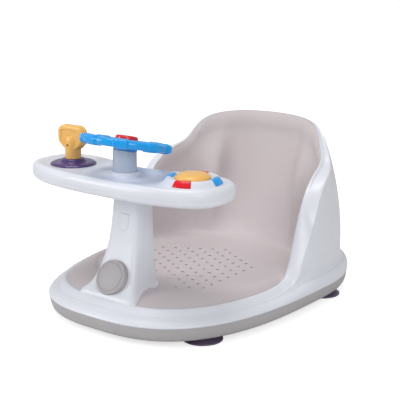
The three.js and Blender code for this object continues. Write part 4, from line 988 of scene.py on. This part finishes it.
def build_column():
    def level(y):
        """Height of the plane under the wheel's hub, which is tilted with the wheel."""
        tilt = radians(WHEEL_TILT)
        return WHEEL_HEIGHT + (WHEEL_UNDER - (y - WHEEL_Y) * sin(tilt)) / cos(tilt)

    foot, flange, tube = TRAY_LOWER_FLOOR + GAP, TRAY_UNDER - GAP, COLUMN_RADIUS
    under, bore = flange - COLUMN_FLANGE_WALL, tube - COLUMN_WALL
    rows = [(tube + COLUMN_FLANGE, under), (tube + COLUMN_FLANGE, flange), (tube, flange), (tube, None),
            (bore, None), (bore, foot), (tube, foot), (tube, under)]
    rings = []
    for radius, height in rows:
        ring = []
        for c, s in circle(COLUMN_SIDES):
            y = COLUMN_Y + s * radius
            ring.append((c * radius, y, level(y) if height is None else height))
        rings.append(ring)
    column = skin("wheel_column_look", rings, closed_tube=True)
    lid = rod(bore + GAP, WHEEL_UNDER - COLUMN_WALL, WHEEL_UNDER - GAP, sides=64)
    grip_foot = WHEEL_UNDER - AXLE_GRIP
    grip = rod(AXLE_RADIUS + COLUMN_WALL, grip_foot, WHEEL_UNDER - GRIP_SINK, sides=48)
    hole = rod(AXLE_RADIUS + GAP, grip_foot - GRIP_SINK, 0, sides=48)
    for tilted in (lid, grip, hole):
        carry(tilted, WHEEL_FRAME)
    cut(union(column, lid, grip), hole)
    look(column, GREY, "tray", sharp=30)


def pad_at(angle):
    """One on a grip pad of the rim and zero on the plain stretch between two pads."""
    along = (angle - radians(LOBE_TURN)) / (2 * pi) * LOBES % 1
    return 1 - smoothstep(min(along, 1 - along), *PAD_END_SHARES)


def build_wheel():
    rings = []
    for i in range(RIM_SECTIONS):
        angle = 2 * pi * i / RIM_SECTIONS
        pad = pad_at(angle)
        outer, inner = WHEEL_RADIUS + WHEEL_LOBE * pad, WHEEL_RADIUS - RIM_BAR - PAD_SWELL * pad
        middle, half = (outer + inner) / 2, (outer - inner) / 2
        thick = WHEEL_TOP - BETWEEN_PADS_SINK + PAD_SWELL * pad
        ring = []
        for c, s in circle(RIM_SIDES):
            across = copysign(abs(c) ** RIM_POWER, c) * half
            up = copysign(abs(s) ** RIM_POWER, s) * thick
            ring.append((cos(angle) * (middle + across), sin(angle) * (middle + across), up))
        rings.append(ring)
    rim = skin("steering_wheel_look", rings, closed_tube=True)
    upper = round_edge(WHEEL_HUB, WHEEL_TOP, WHEEL_ROUND)
    lower = [(r, -z) for r, z in upper[::-1]]
    foot = [(COLUMN_RADIUS, HUB_FOOT), (COLUMN_RADIUS, -WHEEL_TOP)]
    union(rim, turned("hub", foot + lower + upper))
    start, reach, half = WHEEL_HUB - WHEEL_ROUND, WHEEL_RADIUS - RIM_BAR / 2, SPOKE_WIDTH / 2
    spoke = softened(oblong(start, reach, -half, half), SPOKE_CORNER)
    face = WHEEL_TOP - SPOKE_SINK
    for k in range(SPOKES):
        arm = pillow("spoke", spoke, -face, face, WHEEL_ROUND, WHEEL_ROUND)
        arm.data.transform(Matrix.Rotation(2 * pi * k / SPOKES, 4, "Z"))
        union(rim, arm)
    cut(rim, rod(HORN_RADIUS + SLIDE_GAP, POCKET_FLOOR, WHEEL_TOP + OVERRUN, sides=96),
        rod(AXLE_RADIUS + GAP, HUB_FOOT - OVERRUN, WHEEL_THICKNESS, sides=48))
    carry(rim, WHEEL_FRAME)
    look(rim, BLUE, "wheel")


HORN_RADIUS, HORN_STAND, HORN_TRAVEL, HORN_WALL, HORN_ROOF, HORN_HAUNCH = 14.4, 5, 3, 2.4, 2, 1.5

# Millimetres in from the side, then down from the top
HORN_CROWN = [(0, 3.2), (0.35, 1.7), (1.3, 0.75), (3.2, 0.3), (8.4, 0)]


def build_horn():
    top, inside = WHEEL_TOP + HORN_STAND, HORN_RADIUS - HORN_WALL
    foot = POCKET_FLOOR + HORN_TRAVEL + GAP * 2
    rows = [(HORN_ROOF, top - HORN_WALL), (inside, top - HORN_WALL - HORN_HAUNCH), (inside, foot),
            (HORN_RADIUS, foot)]
    rows += curve_through(scaled(HORN_CROWN, HORN_RADIUS, -1, top, -1), steps=4)
    horn = carry(turned("horn_button_look", rows), WHEEL_FRAME)
    look(horn, RED, "horn", sharp=35)


# The key and its ring
RING_SEAT, RING_RADIUS, RING_TALL, RING_COLLAR_DEPTH = TRAY_FLOOR + GAP, 30.6, 7.6, 3

# Share of the radius, then of the height
RING_SHARES = [(0.96, 0), (1, 0.08), (0.97, 0.22), (0.9, 0.36), (0.8, 0.44), (0.68, 0.42), (0.57, 0.5),
               (0.5, 0.88), (0.45, 1)]
KEY_SEAT = RING_SEAT + RING_TALL + GAP
COLLAR_FOOT = TRAY_UNDER - RING_COLLAR_DEPTH
KEY_TAIL, KEY_SHAFT, KEY_SHOULDER, KEY_NECK_TALL = 8, 10.8, 230, 10
KEY_NECK_SHARES = [(1, -0.4), (0.98, 0), (0.88, 0.46), (0.62, 0.84), (0.2, 1)]
BOW_WIDTH, BOW_TALL, BOW_THICKNESS, BOW_CENTRE, BOW_ROUND = 44, 32, 14, 235.7, 8
BOW_BEVEL, BOW_RECESS, BOW_RECESS_INSET, KEY_HOLE, KEY_HOLE_DROP_SHARE = 3.4, 1.6, 5.4, 1.8, 0.3
UPRIGHT = 90

# Millimetres into the recess, then the share of its depth
BOW_RECESS_ROWS = ((2.4, 1), (1.4, 0.94), (0.7, 0.5), (0.2, 0.06), (-0.4, 0))

# Share of half the width, then of half the height
BOW_CORNER_SHARES = [(0.5, -1), (1, -0.42), (1, 0.62), (0.7, 1),
                     (-0.7, 1), (-1, 0.62), (-1, -0.42), (-0.5, -1)]


def build_key_ring():
    bore = KEY_TAIL + SLIDE_GAP
    dish = curve_through(scaled(RING_SHARES, 0, RING_RADIUS, RING_SEAT, RING_TALL), steps=4)
    rows = [(bore, COLLAR_FOOT), (RING_COLLAR, COLLAR_FOOT), (RING_COLLAR, RING_SEAT)]
    rows += dish + [(bore, dish[-1][1])]
    ring = carry(turned("key_ring_look", rows, sides=128, closed_tube=True), frame_at(*KEY_SPOT))
    look(ring, PURPLE, "tray", sharp=35)


def build_key():
    face = BOW_THICKNESS / 2
    outline = softened(scaled(BOW_CORNER_SHARES, 0, BOW_WIDTH / 2, 0, BOW_TALL / 2), BOW_ROUND / 2)
    rim = scaled(BOW_RECESS_ROWS, BOW_RECESS_INSET, 1, face, -BOW_RECESS)
    edge = [(-x, height) for x, height in round_edge(0, face, BOW_BEVEL, steps=8)]
    upper = edge + rim[::-1]
    rows = [(inset, -height) for inset, height in upper[::-1]] + upper
    rings = [[(x, y, height) for x, y in inset_outline(outline, inset)] for inset, height in rows]
    bow = carry(skin("key_look", rings), frame_at(*KEY_SPOT, BOW_CENTRE, UPRIGHT))
    tail = COLLAR_FOOT - SLIDE_GAP + GAP
    rows = [(KEY_TAIL, tail), (KEY_TAIL, KEY_SEAT), (KEY_SHAFT, KEY_SEAT)]
    rows += curve_through(scaled(KEY_NECK_SHARES, 0, KEY_SHAFT, KEY_SHOULDER, KEY_NECK_TALL), steps=5)
    shaft = carry(turned("shaft", rows, sides=72), frame_at(*KEY_SPOT))
    hole = carry(rod(KEY_HOLE, -OVERRUN * 2, OVERRUN * 2, sides=24),
                 frame_at(*KEY_SPOT, BOW_CENTRE - BOW_TALL * KEY_HOLE_DROP_SHARE, UPRIGHT))
    cut(union(bow, shaft), hole)
    look(bow, YELLOW, "key", sharp=30)


# The dome: share of the radius, then of the height
DOME_SHARES = [(1, 0.2), (0.97, 0.38), (0.87, 0.62), (0.68, 0.82), (0.4, 0.95), (0.1, 1)]


def build_dome():
    outer = curve_through(scaled(DOME_SHARES, 0, DOME_RADIUS, BOSS_TOP, DOME_HEIGHT), steps=5)
    inner = [(r * (1 - DOME_WALL / DOME_RADIUS), z - DOME_WALL) for r, z in outer[::-HIDDEN_STEP]]
    seat = TRAY_UNDER - GAP
    rows = inner + [(DOME_RADIUS - DOME_WALL, seat - DOME_LIP_WALL),
                    (DOME_RADIUS + DOME_LIP, seat - DOME_LIP_WALL), (DOME_RADIUS + DOME_LIP, seat),
                    (DOME_RADIUS, seat)] + outer
    dome = carry(turned("dome_button_look", rows, sides=128), frame_at(*DOME_SPOT))
    roof = BOSS_TOP + DOME_HEIGHT - DOME_WALL
    union(dome, rod_at(DOME_SPOT, DOME_PEG, TRAY_UNDER + GAP, roof, sides=48))
    look(dome, YELLOW, "dome", sharp=35)


build_shell()
build_liner()
build_base()
for cup in CUPS:
    build_cup(*cup)
build_cap()
build_release()
build_tray_lower()
build_tray_upper()
build_blocks()
build_stem()
build_column()
build_wheel()
build_horn()
build_key_ring()
build_key()
build_dome()

# The nodes that no piece replaces are of steel but for one
NODE_LOOKS = {"key_washer": WHITE}
for node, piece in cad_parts.items():
    if not piece.hide_render:
        piece.data.materials.clear()
        piece.data.materials.append(NODE_LOOKS.get(node, STEEL))


# Stage, in metres and watts. Lamps: name, place, height that it aims at, size and power
FLOOR_HALF, FLOOR_COLOUR, FLOOR_BOOST, WORLD_LIGHT = 6, (0.82, 0.82, 0.82, 1), 0.64, 0.52
LAMPS = [("right", (1.5, -1.1, 1.0), 0.12, 0.7, 9), ("top", (-0.3, -0.2, 2.2), 0.1, 1.0, 17),
         ("left", (-1.3, -1.6, 0.9), 0.12, 0.8, 12)]


def white_floor():
    """A pale floor that also glows, for the camera alone, so that it reads as white."""
    corners = oblong(-FLOOR_HALF, FLOOR_HALF, -FLOOR_HALF, FLOOR_HALF)
    floor = mesh_object("floor", [(x, y, 0) for x, y in corners], [(0, 1, 2, 3)], scale=1)
    material = bpy.data.materials.new("floor")
    material.use_nodes = True
    tree = material.node_tree
    tree.nodes.clear()
    output = add_node(tree, "OutputMaterial")
    diffuse = add_node(tree, "BsdfDiffuse", Color=FLOOR_COLOUR)
    glow = add_node(tree, "Emission")
    both = add_node(tree, "AddShader")
    seen = add_node(tree, "LightPath")
    boost = add_node(tree, "Math")
    boost.operation = "MULTIPLY"
    boost.inputs[1].default_value = FLOOR_BOOST
    join(seen, "Is Camera Ray", boost, 0)
    join(boost, 0, glow, "Strength")
    join(diffuse, "BSDF", both, 0)
    join(glow, "Emission", both, 1)
    join(both, "Shader", output, "Surface")
    floor.data.materials.append(material)


def white_surroundings():
    """Soft light from all round that the camera sees as white."""
    world = bpy.data.worlds.new("studio")
    world.use_nodes = True
    tree = world.node_tree
    background = preset(tree.nodes["Background"], Color=(1, 1, 1, 1))
    path = add_node(tree, "LightPath")
    direct = add_node(tree, "MapRange", To_Min=WORLD_LIGHT, To_Max=1)
    join(path, "Is Camera Ray", direct, "Value")
    join(direct, "Result", background, "Strength")
    bpy.context.scene.world = world


def area_light(name, spot, aim_height, size, power):
    data = bpy.data.lights.new(name, "AREA")
    data.size = size
    data.energy = power
    light = add_object(name, data)
    light.location = spot
    direction = Vector((0, 0, aim_height)) - Vector(spot)
    light.rotation_euler = direction.to_track_quat("-Z", "Y").to_euler()


# The camera stands on a line through the aim, turned and raised as the photograph's
CAMERA_AZIMUTH, CAMERA_ELEVATION, CAMERA_DISTANCE = radians(37.849), radians(14.096), 1.5
CAMERA_AIM, CAMERA_RIGHT, CAMERA_DOWN = Vector((0, 0.054, 0.1)), 0.034975, 0.024508
SENSOR_WIDTH, LENS = 36, 93.285


def photograph_camera():
    data = bpy.data.cameras.new("camera")
    data.sensor_fit = "HORIZONTAL"
    data.sensor_width = SENSOR_WIDTH
    data.lens = LENS
    camera = add_object("camera", data)
    level = cos(CAMERA_ELEVATION)
    back = Vector((sin(CAMERA_AZIMUTH) * level, -cos(CAMERA_AZIMUTH) * level, sin(CAMERA_ELEVATION)))
    right = Vector((cos(CAMERA_AZIMUTH), sin(CAMERA_AZIMUTH), 0))
    target = CAMERA_AIM - right * CAMERA_RIGHT + back.cross(right) * CAMERA_DOWN
    camera.location = target + back * CAMERA_DISTANCE
    camera.rotation_euler = (-back).to_track_quat("-Z", "Y").to_euler()
    bpy.context.scene.camera = camera


white_floor()
white_surroundings()
for lamp in LAMPS:
    area_light(*lamp)
photograph_camera()
bpy.context.scene.view_settings.view_transform = "Standard"
